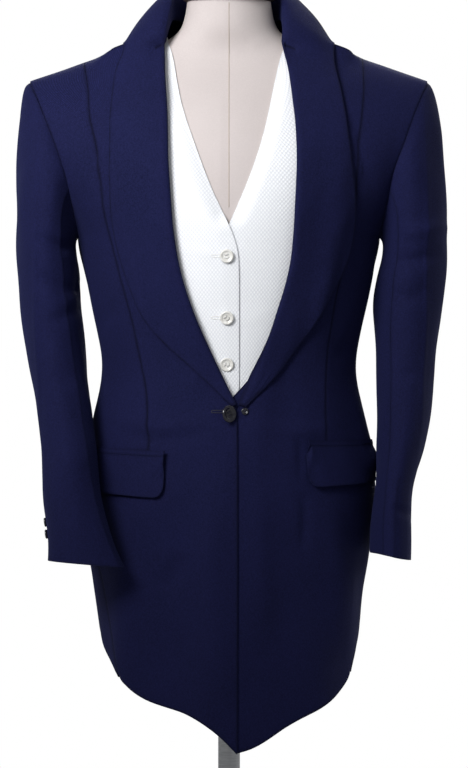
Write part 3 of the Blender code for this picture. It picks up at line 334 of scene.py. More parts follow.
clothFinishes = {
    "navyWool": {
        "deep": (0.0038, 0.0046, 0.024),
        "light": (0.0062, 0.0073, 0.039),
        # colour of the raised yarn: heather flecks, and painted light on the raised yarn
        "fleckAndRaisedLight": (0.0108, 0.0128, 0.064),
        "mottle": (-1.3, 2.6),
        "weave": ("twill", {"Pitch": 0.0013}),
        "roughness": (0.78, 0.92),
        "bump": (0.35, 0.0004),
        "sheen": (0.06, 0.5, (0.25, 0.3, 0.9, 1)),
        # painted shade along seams and rims: its share and its shadow colour
        "seam": (0.62, (0.0008, 0.0009, 0.005)),
    },
    "navyLining": {
        "deep": (0.007, 0.007, 0.032),
        "light": (0.011, 0.012, 0.05),
        "fleckAndRaisedLight": (0.014, 0.015, 0.06),
        "mottle": (0.4, 1.2),
        "weave": ("twill", {"Pitch": 0.0007}),
        "roughness": (0.34, 0.46),
        "bump": (0.12, 0.0002),
        "sheen": (0.0, 0.5, (1, 1, 1, 1)),
        "seam": (0.0, (0.1, 0.1, 0.1)),
    },
    "whitePique": {
        # the ground between the raised dots is painted darker than the dots, as shade in its hollows
        "deep": (0.7, 0.715, 0.76),
        "light": (0.78, 0.795, 0.84),
        "fleckAndRaisedLight": (0.97, 0.98, 0.99),
        "mottle": (0.5, 1.5),
        "weave": ("dots", {"Pitch": 0.005, "Dot": 0.38}),
        "roughness": (0.55, 0.8),
        "bump": (0.6, 0.0006),
        "sheen": (0.05, 0.5, (1, 1, 1, 1)),
        # painted shade along seams and rims: its share and its shadow colour
        "seam": (0.12, (0.45, 0.45, 0.48)),
    },
    "whiteLining": {
        "deep": (0.7, 0.69, 0.66),
        "light": (0.78, 0.77, 0.74),
        "fleckAndRaisedLight": (0.82, 0.81, 0.78),
        "mottle": (0.4, 1.2),
        "weave": ("twill", {"Pitch": 0.0008}),
        "roughness": (0.4, 0.55),
        "bump": (0.15, 0.0002),
        "sheen": (0.0, 0.5, (1, 1, 1, 1)),
        "seam": (0.0, (0.1, 0.1, 0.1)),
    },
    "beigeJersey": {
        "deep": (0.45, 0.4, 0.392),
        "light": (0.52, 0.468, 0.46),
        "fleckAndRaisedLight": (0.59, 0.535, 0.525),
        "mottle": (0.2, 1.5),
        "weave": ("knit", {"Pitch": 0.0012}),
        "roughness": (0.72, 0.9),
        "bump": (0.4, 0.0004),
        "sheen": (0.12, 0.5, (1, 0.9, 0.8, 1)),
        "seam": (0.0, (0.4, 0.4, 0.4)),
    },
}


def clothMaterial(name):
    finish = clothFinishes[name]
    material, tree, shader = startMaterial(name, Specular_IOR_Level=0.1)
    shader.inputs["Sheen Weight"].default_value = finish["sheen"][0]
    shader.inputs["Sheen Roughness"].default_value = finish["sheen"][1]
    shader.inputs["Sheen Tint"].default_value = finish["sheen"][2]
    run = addNode(tree, "ShaderNodeUVMap", uv_map="clothRun").outputs[0]
    place = addNode(tree, "ShaderNodeTexCoord").outputs["Object"]
    kind, sizes = finish["weave"]
    weaveGroup = {"twill": twillGroup, "dots": dotGroup, "knit": knitGroup}[kind]
    weave = useGroup(tree, weaveGroup, {"Vector": run, **sizes})["Height"]
    wearAndSheen = useGroup(tree, wearAndSheenGroup, {"Vector": place})
    # the slow mottle mixes the deep and light tones: wear and heather, and painted sheen variation
    slow = spread(tree, wearAndSheen["Slow"], -0.4, 1.4)
    ground = blendColours(tree, slow, finish["deep"], finish["light"])
    # raised yarn takes the fleck colour: heather flecks, and painted light on the raised yarn, with painted
    # shade left in the weave's hollows
    reliefLightAndFleck = mathNode(tree, "MULTIPLY", weave, spread(tree, wearAndSheen["Fleck"], *finish["mottle"]), clamp=True)
    colour = blendColours(tree, reliefLightAndFleck, ground, finish["fleckAndRaisedLight"])
    # painted shade along seams and rims: near a piece's rim the colour goes towards a shadow colour
    rim = addNode(tree, "ShaderNodeAttribute", attribute_name="seamShade").outputs["Fac"]
    shade = mathNode(tree, "MULTIPLY", rim, finish["seam"][0], clamp=True)
    colour = blendColours(tree, shade, colour, finish["seam"][1])
    tree.links.new(colour, shader.inputs["Base Color"])
    rough = spread(tree, wearAndSheen["Fleck"], finish["roughness"][1], finish["roughness"][0])
    tree.links.new(rough, shader.inputs["Roughness"])
    height = mathNode(tree, "ADD", weave, mathNode(tree, "MULTIPLY", wearAndSheen["Fleck"], 0.4))
    addBump(tree, shader, height, *finish["bump"])
    return material


hardFinishes = {
    "darkHorn": {
        "deep": (0.002, 0.002, 0.006),
        "light": (0.012, 0.012, 0.022),
        "roughness": (0.12, 0.24),
        "metal": 0.0,
        "coat": 0.55,
        "grain": ((1.0, 1.0, 0.25), 260.0),
        "bump": (0.08, 0.0002),
    },
    "pearl": {
        "deep": (0.62, 0.6, 0.55),
        "light": (0.86, 0.86, 0.84),
        "roughness": (0.14, 0.3),
        "metal": 0.0,
        "coat": 0.6,
        "grain": ((1.0, 0.4, 1.0), 150.0),
        "bump": (0.06, 0.0002),
    },
    "darkWood": {
        "deep": (0.018, 0.011, 0.008),
        "light": (0.05, 0.03, 0.02),
        "roughness": (0.5, 0.66),
        "metal": 0.0,
        "coat": 0.08,
        "grain": ((6.0, 1.0, 1.0), 22.0),
        "bump": (0.15, 0.0006),
    },
    "brushedSteel": {
        "deep": (0.36, 0.365, 0.375),
        "light": (0.56, 0.565, 0.575),
        "roughness": (0.26, 0.42),
        "metal": 1.0,
        "coat": 0.0,
        "grain": ((1.0, 1.0, 14.0), 60.0),
        "bump": (0.1, 0.0002),
    },
    "navyThread": {
        "deep": (0.002, 0.002, 0.009),
        "light": (0.006, 0.0065, 0.028),
        "roughness": (0.55, 0.8),
        "metal": 0.0,
        "coat": 0.0,
        "grain": ((1.0, 1.0, 1.0), 2400.0),
        "bump": (0.5, 0.0002),
    },
    "whiteThread": {
        "deep": (0.66, 0.66, 0.65),
        "light": (0.86, 0.86, 0.85),
        "roughness": (0.5, 0.75),
        "metal": 0.0,
        "coat": 0.0,
        "grain": ((1.0, 1.0, 1.0), 2400.0),
        "bump": (0.5, 0.0002),
    },
    "beigeThread": {
        "deep": (0.3, 0.235, 0.175),
        "light": (0.42, 0.34, 0.26),
        "roughness": (0.6, 0.85),
        "metal": 0.0,
        "coat": 0.0,
        "grain": ((1.0, 1.0, 1.0), 2400.0),
        "bump": (0.5, 0.0002),
    },
}


def hardMaterial(name):
    finish = hardFinishes[name]
    material, tree, shader = startMaterial(name, Metallic=finish["metal"], Coat_Weight=finish["coat"])
    place = addNode(tree, "ShaderNodeTexCoord").outputs["Object"]
    stretch, scale = finish["grain"]
    grain = useGroup(tree, grainGroup, {"Vector": place, "Stretch": stretch, "Scale": scale})
    tone = spread(tree, grain["Grain"], -0.5, 1.5)
    tree.links.new(blendColours(tree, tone, finish["deep"], finish["light"]), shader.inputs["Base Color"])
    rough = spread(tree, grain["Fine"], finish["roughness"][0], finish["roughness"][1])
    tree.links.new(rough, shader.inputs["Roughness"])
    addBump(tree, shader, grain["Fine"], *finish["bump"])
    return material


materials = {name: clothMaterial(name) for name in clothFinishes}
materials.update({name: hardMaterial(name) for name in hardFinishes})
print("materials made:", len(materials))

# creases: the side they are seen from, half width, rise, and a run of (x, z) points
# rise is out from the body, so a trough is below nought
coatCreases = [
    ("front", 0.012, -0.0022, [(-0.051, 0.735), (-0.062, 0.715), (-0.073, 0.69)]),
    ("front", 0.009, 0.0012, [(-0.014, 0.887), (-0.07, 0.878), (-0.128, 0.884)]),
    ("front", 0.008, -0.0011, [(-0.02, 0.872), (-0.075, 0.862), (-0.12, 0.866)]),
    ("front", 0.01, -0.0018, [(-0.156, 0.985), (-0.128, 1.02)]),
    ("front", 0.019, 0.0035, [(-0.1, 0.8), (-0.112, 0.7), (-0.118, 0.585)]),
    ("front", 0.015, 0.0016, [(-0.028, 0.8), (-0.02, 0.69), (-0.008, 0.57)]),
    ("front", 0.006, -0.0016, [(0.085, 0.805), (0.086, 0.77), (0.083, 0.735)]),
    ("front", 0.005, -0.001, [(0.078, 0.87), (0.081, 0.845), (0.08, 0.815)]),
    ("front", 0.018, 0.0034, [(0.11, 0.8), (0.126, 0.7), (0.135, 0.61)]),
    ("front", 0.016, 0.002, [(0.033, 0.82), (0.036, 0.72), (0.04, 0.62)]),
    ("front", 0.01, -0.0016, [(-0.148, 1.225), (-0.152, 1.18), (-0.146, 1.13)]),
    ("front", 0.01, -0.0018, [(0.139, 1.235), (0.15, 1.19), (0.153, 1.145)]),
    ("front", 0.009, 0.0011, [(0.02, 0.884), (0.07, 0.872), (0.125, 0.879)]),
    ("front", 0.009, -0.0016, [(0.12, 0.95), (0.14, 0.975), (0.152, 1.0)]),
    ("back", 0.013, 0.0026, [(-0.136, 1.21), (-0.13, 1.13), (-0.118, 1.05)]),
    ("back", 0.012, 0.0023, [(0.134, 1.2), (0.13, 1.12), (0.12, 1.06)]),
    ("back", 0.009, 0.0017, [(-0.088, 0.972), (-0.045, 0.957), (-0.008, 0.96)]),
    ("back", 0.009, 0.0019, [(0.01, 0.945), (0.05, 0.932), (0.098, 0.94)]),
    ("back", 0.007, 0.0012, [(-0.06, 0.925), (-0.025, 0.915)]),
    ("back", 0.018, 0.0036, [(-0.1, 0.85), (-0.116, 0.75), (-0.122, 0.64)]),
    ("back", 0.02, 0.0034, [(0.094, 0.86), (0.106, 0.75), (0.116, 0.63)]),
    ("back", 0.016, -0.0026, [(-0.036, 0.82), (-0.045, 0.72), (-0.048, 0.6)]),
    ("back", 0.015, -0.0024, [(0.042, 0.8), (0.05, 0.71), (0.05, 0.6)]),
]
rightSleeveCreases = [
    (
        "front", 0.0028, 0.0009,
        [(-0.219, 1.262), (-0.2215, 1.15), (-0.22, 1.0), (-0.213, 0.87), (-0.203, 0.79)],
    ),
    ("front", 0.008, -0.0024, [(-0.222, 1.094), (-0.19, 1.082), (-0.166, 1.088)]),
    ("front", 0.009, -0.0026, [(-0.216, 1.05), (-0.186, 1.034), (-0.164, 1.036)]),
    ("front", 0.007, -0.0016, [(-0.205, 0.995), (-0.18, 1.008), (-0.165, 1.02)]),
    ("front", 0.008, -0.0015, [(-0.2, 0.94), (-0.175, 0.925)]),
    ("front", 0.007, -0.002, [(-0.19, 1.25), (-0.176, 1.19), (-0.178, 1.14)]),
    ("front", 0.009, 0.0014, [(-0.195, 0.85), (-0.16, 0.835)]),
    ("back", 0.009, -0.0028, [(-0.235, 1.09), (-0.2, 1.07), (-0.17, 1.08)]),
    ("back", 0.008, -0.0022, [(-0.23, 1.04), (-0.2, 1.03), (-0.172, 1.045)]),
    ("back", 0.008, -0.0016, [(-0.21, 0.92), (-0.18, 0.93)]),
    ("back", 0.01, 0.002, [(-0.2, 1.22), (-0.19, 1.16)]),
]
leftSleeveCreases = [
    (
        "front", 0.0028, 0.0009,
        [(0.2235, 1.262), (0.226, 1.13), (0.224, 1.0), (0.217, 0.87), (0.208, 0.79)],
    ),
    ("front", 0.009, 0.0026, [(0.196, 1.098), (0.226, 1.102), (0.25, 1.108)]),
    ("front", 0.008, -0.0026, [(0.188, 1.066), (0.216, 1.068), (0.244, 1.078)]),
    ("front", 0.008, -0.0018, [(0.18, 1.03), (0.205, 1.024), (0.23, 1.035)]),
    ("front", 0.0045, -0.0018, [(0.186, 0.79), (0.2, 0.78), (0.21, 0.774)]),
    ("front", 0.007, -0.0022, [(0.171, 1.235), (0.177, 1.18), (0.181, 1.13)]),
    ("front", 0.009, -0.0014, [(0.19, 0.93), (0.215, 0.945)]),
    ("back", 0.009, -0.0026, [(0.235, 1.1), (0.205, 1.082), (0.175, 1.088)]),
    ("back", 0.009, -0.0024, [(0.232, 1.05), (0.2, 1.036), (0.172, 1.05)]),
    ("back", 0.008, -0.0015, [(0.214, 0.9), (0.184, 0.915)]),
]
waistcoatCreases = [
    ("front", 0.005, 0.0007, [(-0.006, 1.071), (-0.03, 1.074), (-0.052, 1.082)]),
    ("front", 0.005, 0.0007, [(0.004, 1.002), (0.026, 1.0), (0.045, 1.006)]),
    ("front", 0.004, 0.0006, [(-0.008, 0.95), (-0.02, 0.952), (-0.032, 0.958)]),
]
unevenness = {"coat": 0.0014, "sleeve": 0.0022, "waistcoat": 0.0003, "size": 0.055, "across": 1.6}
creaseDepth = {"coat": 1.9, "rightSleeve": 1.9, "leftSleeve": 1.9, "waistcoat": 1.0, "form": 0.0}
facingFade = {"start": 0.05, "width": 0.35}  # a crease fades where the cloth turns away from its side
clearance = {"wall": 0.0018, "gap": 0.0006, "reach": 0.02}
leftCuff = {"top": 0.87, "low": 0.75, "draw": 0.009, "side": 0.3}  # the cuff spreads towards the skirt


# one along the crease's line, falling to none at its ends and beside it
def creaseShare(flat, crease, half):
    nearest = np.full(len(flat), 1e9)
    along = np.zeros(len(flat))
    points = [np.array(p) for p in crease]
    for step, (a, b) in enumerate(zip(points, points[1:])):
        run = b - a
        part = np.clip(((flat - a) @ run) / (run @ run), 0, 1)
        away = np.linalg.norm(flat - a - part[:, None] * run, axis=1)
        closer = away < nearest
        nearest[closer] = away[closer]
        along[closer] = (step + part[closer]) / (len(points) - 1)
    ends = np.sin(pi * np.clip(along, 0, 1)) ** 0.7
    return np.exp(-((nearest / half) ** 2)) * ends


def surfaceTree(pieces):
    bm = bmesh.new()
    for piece in pieces:
        bm.from_mesh(piece.data)
    tree = BVHTree.FromBMesh(bm)
    bm.free()
    return tree


underNames = [name for name in cadNodes if name.startswith(("waistcoat", "form_torso"))]
underCoat = surfaceTree([cadNodes[name] for name in underNames])


def outwardOf(points, axis):
    centre = np.column_stack([np.interp(points[:, 2], axis[:, 2], axis[:, k]) for k in (0, 1)])
    out = points[:, :2] - centre
    return out / np.maximum(np.linalg.norm(out, axis=1), 1e-6)[:, None]


# how far the cloth at these points stands off its solid
def clothLift(points, out, creases, uneven, depth):
    flat = points[:, [0, 2]]
    lift = np.zeros(len(points))
    for side, half, rise, run in creases:
        facing = -out[:, 1] if side == "front" else out[:, 1]
        mask = np.clip((facing - facingFade["start"]) / facingFade["width"], 0, 1)
        lift += rise * creaseShare(flat, run, half) * mask * depth
    upward = 1 / unevenness["size"]
    across = upward * unevenness["across"]
    rough = [noise.noise(Vector((x * across, y * across, z * upward))) for x, y, z in points]
    return lift + uneven * (0.5 + np.array(rough))


# a trough of the coat stops short of what is under it
def keepClear(points, normals, out, lift):
    for index in np.where(lift < 0)[0]:
        away = underCoat.find_nearest(Vector(points[index]), clearance["reach"])[3]
        if away is None:
            continue
        faces = normals[index, 0] * out[index, 0] + normals[index, 1] * out[index, 1]
        room = away - clearance["wall"] if faces > 0 else away
        lift[index] = max(lift[index], -max(0.0, room - clearance["gap"]))
    return lift


# the line up the middle of a sleeve
def middleLine(names, count=24, band=0.03):
    points = np.array([v.co for name in names for v in cadNodes[name].data.vertices])
    low, high = points[:, 2].min(), points[:, 2].max()
    rows = []
    for level in np.linspace(low, high, count):
        near = points[np.abs(points[:, 2] - level) < band]
        middle = (near.min(0) + near.max(0)) / 2
        rows.append((middle[0], middle[1], level))
    return np.array(rows)


bodyAxis = np.array([(0.0, 0.0, 0.4), (0.0, 0.0, 1.5)])
rightSleeveAxis = middleLine(["top_sleeve_right", "under_sleeve_right"])
leftSleeveAxis = middleLine(["top_sleeve_left", "under_sleeve_left"])

cloths = {
    "coat": {"axis": bodyAxis, "creases": coatCreases, "uneven": unevenness["coat"], "radius": 0.15},
    "rightSleeve": {
        "axis": rightSleeveAxis,
        "creases": rightSleeveCreases,
        "uneven": unevenness["sleeve"],
        "radius": 0.06,
    },
    "leftSleeve": {
        "axis": leftSleeveAxis,
        "creases": leftSleeveCreases,
        "uneven": unevenness["sleeve"],
        "radius": 0.06,
    },
    "waistcoat": {
        "axis": bodyAxis, "creases": waistcoatCreases, "uneven": unevenness["waistcoat"], "radius": 0.14,
    },
    "form": {"axis": bodyAxis, "creases": [], "uneven": 0.0, "radius": 0.12},
}


# the cloth sinks a little along its seams and rims, and painted shade darkens it there, standing in for the
# shadow in the ditch
seamDitch = {
    "half": 0.0018,
    "drop": 0.0006,
    "frontEdge": (0.045, 0.06),
    # pieces whose painted seam shade is fainter, and by what share
    "fainterShade": (("pocket", 0.4), ("top_sleeve", 0.55), ("under_sleeve", 0.55)),
}


# one at a piece's rim, falling to none a few millimetres in; it sinks the seams of coat pieces and sets the
# painted shade along seams and rims
def rimNearness(mesh, points, sharpNow):
    rim = sorted({v for edge, value in zip(mesh.edges, sharpNow) if value for v in edge.vertices})
    if not rim:
        return np.zeros(len(points))
    tree = KDTree(len(rim))
    for index in rim:
        tree.insert(points[index], index)
    tree.balance()
    away = np.array([tree.find(point)[2] for point in points])
    return np.exp(-((away / seamDitch["half"]) ** 2))


# a welded copy of a solid's mesh, in quads where they are flat to so many degrees
def mergedCopy(node, flatness):
    bm = bmesh.new()
    bm.from_mesh(cadNodes[node].data)
    bmesh.ops.remove_doubles(bm, verts=bm.verts, dist=1e-6)
    bmesh.ops.join_triangles(
        bm, faces=bm.faces, angle_face_threshold=radians(flatness), angle_shape_threshold=radians(60)
    )
    return bm


shellForm = {"sharp": radians(50), "liningTurn": -0.15}  # a face turned in past this is lining


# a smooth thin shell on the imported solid's own form
def clothShell(node, kind, levels, outer, inner):
    sharp = shellForm["sharp"]
    cloth = cloths[kind]
    bm = mergedCopy(node, 40)
    creaseLayer = bm.edges.layers.float.new("crease_edge")
    for edge in bm.edges:
        if len(edge.link_faces) == 2 and edge.calc_face_angle() > sharp:
            edge[creaseLayer] = 1.0
    draft = meshObject(node + "Draft", bm)
    smooth = draft.modifiers.new("smooth", "SUBSURF")
    smooth.levels = levels
    smooth.render_levels = levels
    graph = bpy.context.evaluated_depsgraph_get()
    mesh = bpy.data.meshes.new_from_object(draft.evaluated_get(graph))
    bpy.data.objects.remove(draft)
    count = len(mesh.vertices)
    points = np.zeros(count * 3)
    mesh.vertices.foreach_get("co", points)
    points = points.reshape(-1, 3)
    out = outwardOf(points, cloth["axis"])
    lift = clothLift(points, out, cloth["creases"], cloth["uneven"], creaseDepth[kind])
    sharpNow = sharpEdges(mesh, sharp)
    nearRim = rimNearness(mesh, points, sharpNow)
    if node.startswith("coat_"):
        start, full = seamDitch["frontEdge"] if "front" in node else (-2.0, -1.0)
        lift -= seamDitch["drop"] * nearRim * np.clip((np.abs(points[:, 0]) - start) / (full - start), 0, 1)
    if kind == "coat":
        normals = np.zeros(count * 3)
        mesh.vertices.foreach_get("normal", normals)
        lift = keepClear(points, normals.reshape(-1, 3), out, lift)
    moved = points + np.column_stack([out * lift[:, None], np.zeros(count)])
    if kind == "leftSleeve":
        fall = np.clip((leftCuff["top"] - points[:, 2]) / (leftCuff["top"] - leftCuff["low"]), 0, 1)
        towards = np.clip(leftCuff["side"] - out[:, 0], 0, 1)
        moved[:, 0] -= leftCuff["draw"] * fall * fall * (3 - 2 * fall) * towards
    mesh.vertices.foreach_set("co", moved.ravel())
    # the rim nearness is kept on the piece for the painted shade along seams and rims
    share = next((value for start, value in seamDitch["fainterShade"] if node.startswith(start)), 1.0)
    mesh.attributes.new("seamShade", "FLOAT", "POINT").data.foreach_set("value", nearRim * share)
    mesh.update()

    middle = out.mean(0)
    angle = np.arctan2(
        middle[0] * out[:, 1] - middle[1] * out[:, 0], middle[0] * out[:, 0] + middle[1] * out[:, 1]
    )
    run = np.column_stack([angle * cloth["radius"], points[:, 2]])
    layer = mesh.uv_layers.new(name="clothRun")
    corners = np.zeros(len(mesh.loops), dtype=np.int32)
    mesh.loops.foreach_get("vertex_index", corners)
    layer.data.foreach_set("uv", run[corners].ravel())

    mesh.materials.clear()
    mesh.materials.append(materials[outer])
    mesh.materials.append(materials[inner])
    for face in mesh.polygons:
        face.use_smooth = True
        where = face.vertices[0]
        if face.normal.x * out[where, 0] + face.normal.y * out[where, 1] < shellForm["liningTurn"]:
            face.material_index = 1
    for edge, value in zip(mesh.edges, sharpNow):
        edge.use_edge_sharp = value
    mesh.name = node + "Cloth"
    piece = bpy.data.objects.new(node + "Cloth", mesh)
    bpy.context.scene.collection.objects.link(piece)
    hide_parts(node)
    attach(piece, "root")
    return piece


def sharpEdges(mesh, limit):
    bm = bmesh.new()
    bm.from_mesh(mesh)
    result = [len(e.link_faces) == 2 and e.calc_face_angle() > limit for e in bm.edges]
    bm.free()
    return result


# flat is the cut of what shows, in metres, and area the cut's own area
sheets = {
    "coat_front_right": ("coat", 3, (0.2, 0.84), 0.104, "hung", ["form_torso"], "navy_wool"),
    "coat_front_left": ("coat", 3, (0.2, 0.85), 0.11, "hung", ["form_torso"], "navy_wool"),
    "coat_side_right": ("coat", 3, (0.13, 0.46), 0.038, "hung", ["form_torso"], "navy_wool"),
    "coat_side_left": ("coat", 3, (0.13, 0.46), 0.036, "hung", ["form_torso"], "navy_wool"),
    "coat_back_right": ("coat", 2, (0.28, 0.76), 0.156, "hung", ["form_torso"], "navy_wool"),
    "coat_back_left": ("coat", 2, (0.28, 0.76), 0.152, "hung", ["form_torso"], "navy_wool"),
    "top_sleeve_right": ("rightSleeve", 3, (0.2, 0.58), 0.087, "hung", ["coat_front_right"], "navy_wool"),
    "top_sleeve_left": ("leftSleeve", 3, (0.2, 0.58), 0.09, "hung", ["coat_front_left"], "navy_wool"),
    "under_sleeve_right": ("rightSleeve", 3, (0.15, 0.47), 0.051, "hung", ["coat_back_right"], "navy_wool"),
    "under_sleeve_left": ("leftSleeve", 3, (0.15, 0.46), 0.05, "hung", ["coat_back_left"], "navy_wool"),
    "shawl_collar_right": ("coat", 3, (0.13, 0.64), 0.051, "folded", ["coat_front_right"], "navy_wool"),
    "shawl_collar_left": ("coat", 3, (0.13, 0.64), 0.051, "folded", ["coat_front_left"], "navy_wool"),
    "pocket_welt_right": ("coat", 2, (0.135, 0.01), 0.001, "stretched", ["coat_front_right"], "navy_wool"),
    "pocket_welt_left": ("coat", 2, (0.125, 0.01), 0.001, "stretched", ["coat_front_left"], "navy_wool"),
    "pocket_flap_right": ("coat", 3, (0.135, 0.052), 0.0065, "hung", ["coat_front_right"], "navy_wool"),
    "pocket_flap_left": ("coat", 3, (0.13, 0.05), 0.006, "hung", ["coat_front_left"], "navy_wool"),
    "waistcoat_front_right": ("waistcoat", 3, (0.22, 0.49), 0.079, "hung", ["form_torso"], "white_pique"),
    "waistcoat_front_left": ("waistcoat", 3, (0.22, 0.49), 0.08, "hung", ["form_torso"], "white_pique"),
    "waistcoat_back": ("waistcoat", 2, (0.42, 0.49), 0.16, "hung", ["form_torso"], "white_pique"),
}

shells = {}
for node, (kind, levels, flat, area, held, restsOn, finish) in sheets.items():
    outer = "navyWool" if finish == "navy_wool" else "whitePique"
    inner = "navyLining" if finish == "navy_wool" else "whiteLining"
    if node.startswith(("shawl", "pocket")):
        inner = outer
    piece = clothShell(node, kind, levels, outer, inner)
    shells[node] = piece
print("cloth shells made:", len(shells))

# the limbless dress form
form = clothShell("form_torso", "form", 2, "beigeJersey", "beigeJersey")


# a turned piece with round sides and crisp rims
def turnedPiece(node, finish):
    bm = mergedCopy(node, 20)
    for edge in bm.edges:
        edge.smooth = len(edge.link_faces) == 2 and edge.calc_face_angle() < radians(38)
    piece = meshObject(node + "Turned", bm)
    piece.data.materials.append(materials[finish])
    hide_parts(node)
    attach(piece, "root")


turnedPiece("form_neck_cap", "darkWood")
turnedPiece("form_pole", "brushedSteel")
turnedPiece("form_base", "brushedSteel")
print("dress form finished")

# edges of the waistcoat, the coat and the pockets, laid close on what they lie on
laidEdges = {
    "gap": 0.0004,
    "reach": 0.012,
    "beside": 0.003,  # spots this close belong to one place of the rim
    "wallShare": 0.0004,  # of those, only the wall's inner rim is laid
    "flat": 0.002,
    "fade": 0.016,
    "soft": 0.005,
    "power": 1.5,
    "openingHalf": 0.075,
    "openingLow": 1.118,
    "lapStart": 0.004,
    "waistcoatTop": 1.112,
    "coatTop": 0.885,
    "pocketEnd": 0.009,
}


def rimOf(mesh):
    return sorted({v for edge in mesh.edges if edge.use_edge_sharp for v in edge.vertices})


def layEdge(name, targets, chosen):
    mesh = shells[name].data
    tree = surfaceTree(targets)
    points = np.array([v.co for v in mesh.vertices])
    spots, pulls, lengths = [], [], []
    for index in rimOf(mesh):
        if not chosen(points[index]):
            continue
        near, _, _, away = tree.find_nearest(Vector(points[index]), laidEdges["reach"])
        if near is None:
            continue
        length = max(0.0, away - laidEdges["gap"])
        spots.append(points[index])
        lengths.append(length)
        pulls.append((np.array(near) - points[index]) / max(away, 1e-6) * length)
    spots, pulls, lengths = np.array(spots), np.array(pulls), np.array(lengths)
    inner = []
    for spot, length in zip(spots, lengths):
        beside = np.linalg.norm(spots - spot, axis=1) < laidEdges["beside"]
        inner.append(length <= lengths[beside].min() + laidEdges["wallShare"])
    spots, pulls = spots[inner], pulls[inner]
    for index, point in enumerate(points):
        away = np.linalg.norm(spots - point, axis=1)
        least = away.min()
        if least < laidEdges["fade"]:
            weights = np.exp(-(((away - least) / laidEdges["soft"]) ** 2))
            pull = (pulls * weights[:, None]).sum(0) / weights.sum()
            share = 1 - max(0.0, least - laidEdges["flat"]) / laidEdges["fade"]
            points[index] += pull * max(0.0, share) ** laidEdges["power"]
    mesh.vertices.foreach_set("co", points.ravel())
    mesh.update()


def atOpening(p):
    return p[1] < 0 and abs(p[0]) < laidEdges["openingHalf"] and p[2] > laidEdges["openingLow"]


def atLap(p, top):
    return p[0] > laidEdges["lapStart"] and p[2] < laidEdges[top]


for hand in ("right", "left"):
    layEdge("waistcoat_front_" + hand, [form], atOpening)
layEdge("waistcoat_front_right", [shells["waistcoat_front_left"]], lambda p: atLap(p, "waistcoatTop"))
layEdge("coat_front_right", [shells["coat_front_left"]], lambda p: atLap(p, "coatTop"))
for hand in ("right", "left"):
    under = [shells["coat_front_" + hand], shells["coat_side_" + hand]]
    for name in ("pocket_flap_" + hand, "pocket_welt_" + hand):
        outerEnd = max(abs(v.co.x) for v in shells[name].data.vertices) - laidEdges["pocketEnd"]
        layEdge(name, under, lambda p: abs(p[0]) > outerEnd)
print("edges laid")

# sleeve heads, drawn in to meet the armhole seam
armholeSeam = {
    "gap": 0.0004, "reach": 0.009, "fade": 0.03, "soft": 0.007, "power": 1.5, "level": 1.19, "half": 0.16,
}


def closeArmhole(sleeveNames, coatNames):
    coatTree = surfaceTree([shells[name] for name in coatNames])
    for name in sleeveNames:
        mesh = shells[name].data
        points = np.array([v.co for v in mesh.vertices])
        spots, pulls = [], []
        for index in rimOf(mesh):
            near, _, _, away = coatTree.find_nearest(Vector(points[index]), armholeSeam["reach"])
            if near is None:
                continue
            share = max(0.0, 1 - armholeSeam["gap"] / max(away, 1e-6))
            spots.append(points[index])
            pulls.append((np.array(near) - points[index]) * share)
        spots, pulls = np.array(spots), np.array(pulls)
        close = np.abs(points[:, 2] - armholeSeam["level"]) < armholeSeam["half"]
        for index in np.where(close)[0]:
            away = np.linalg.norm(spots - points[index], axis=1)
            least = away.min()
            if least > armholeSeam["fade"]:
                continue
            weights = np.exp(-(((away - least) / armholeSeam["soft"]) ** 2))
            pull = (pulls * weights[:, None]).sum(0) / weights.sum()
            points[index] += pull * (1 - least / armholeSeam["fade"]) ** armholeSeam["power"]
        mesh.vertices.foreach_set("co", points.ravel())
        mesh.update()


for hand in ("right", "left"):
    closeArmhole(
        ["top_sleeve_" + hand, "under_sleeve_" + hand],
        ["coat_front_" + hand, "coat_side_" + hand, "coat_back_" + hand],
    )
print("armholes closed")

coatSurface = surfaceTree([shells["coat_front_right"], shells["shawl_collar_right"]])
waistcoatSurface = surfaceTree([shells["waistcoat_front_right"], shells["waistcoat_front_left"]])
formSurface = surfaceTree([form])


# a round thread laid along points, closed or open
def threadRun(name, points, radius, closed, finish):
    curve = bpy.data.curves.new(name, "CURVE")
    curve.dimensions = "3D"
    curve.bevel_depth = radius
    curve.bevel_resolution = 2
    curve.use_fill_caps = not closed
    spline = curve.splines.new("POLY")
    spline.points.add(len(points) - 1)
    for spot, point in zip(spline.points, points):
        spot.co = (*point, 1)
    spline.use_cyclic_u = closed
    holder = bpy.data.objects.new(name + "Draft", curve)
    bpy.context.scene.collection.objects.link(holder)
    mesh = bpy.data.meshes.new_from_object(holder.evaluated_get(bpy.context.evaluated_depsgraph_get()))
    bpy.data.objects.remove(holder)
    bm = bmesh.new()
    bm.from_mesh(mesh)
    bpy.data.meshes.remove(mesh)
    bmesh.ops.remove_doubles(bm, verts=bm.verts, dist=1e-6)
    bmesh.ops.recalc_face_normals(bm, faces=bm.faces)
    piece = meshObject(name, bm)
    piece.data.materials.append(materials[finish])
    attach(piece, "root")
    return piece


# buttonholes, a worked lip round a slit: surface, start, end, half height, thread radius, thread
buttonholes = {
    "coatButtonhole": (coatSurface, (-0.0185, 0.8955), (-0.0035, 0.8955), 0.0013, 0.00055, "navyThread"),
}
for number, level in enumerate((1.0712, 1.0015, 0.9488), 1):
    ends = (-0.0185, level), (0.0045, round(level - 0.0002, 4))
    buttonholes[f"waistcoatButtonhole{number}"] = (waistcoatSurface, *ends, 0.0012, 0.00045, "whiteThread")


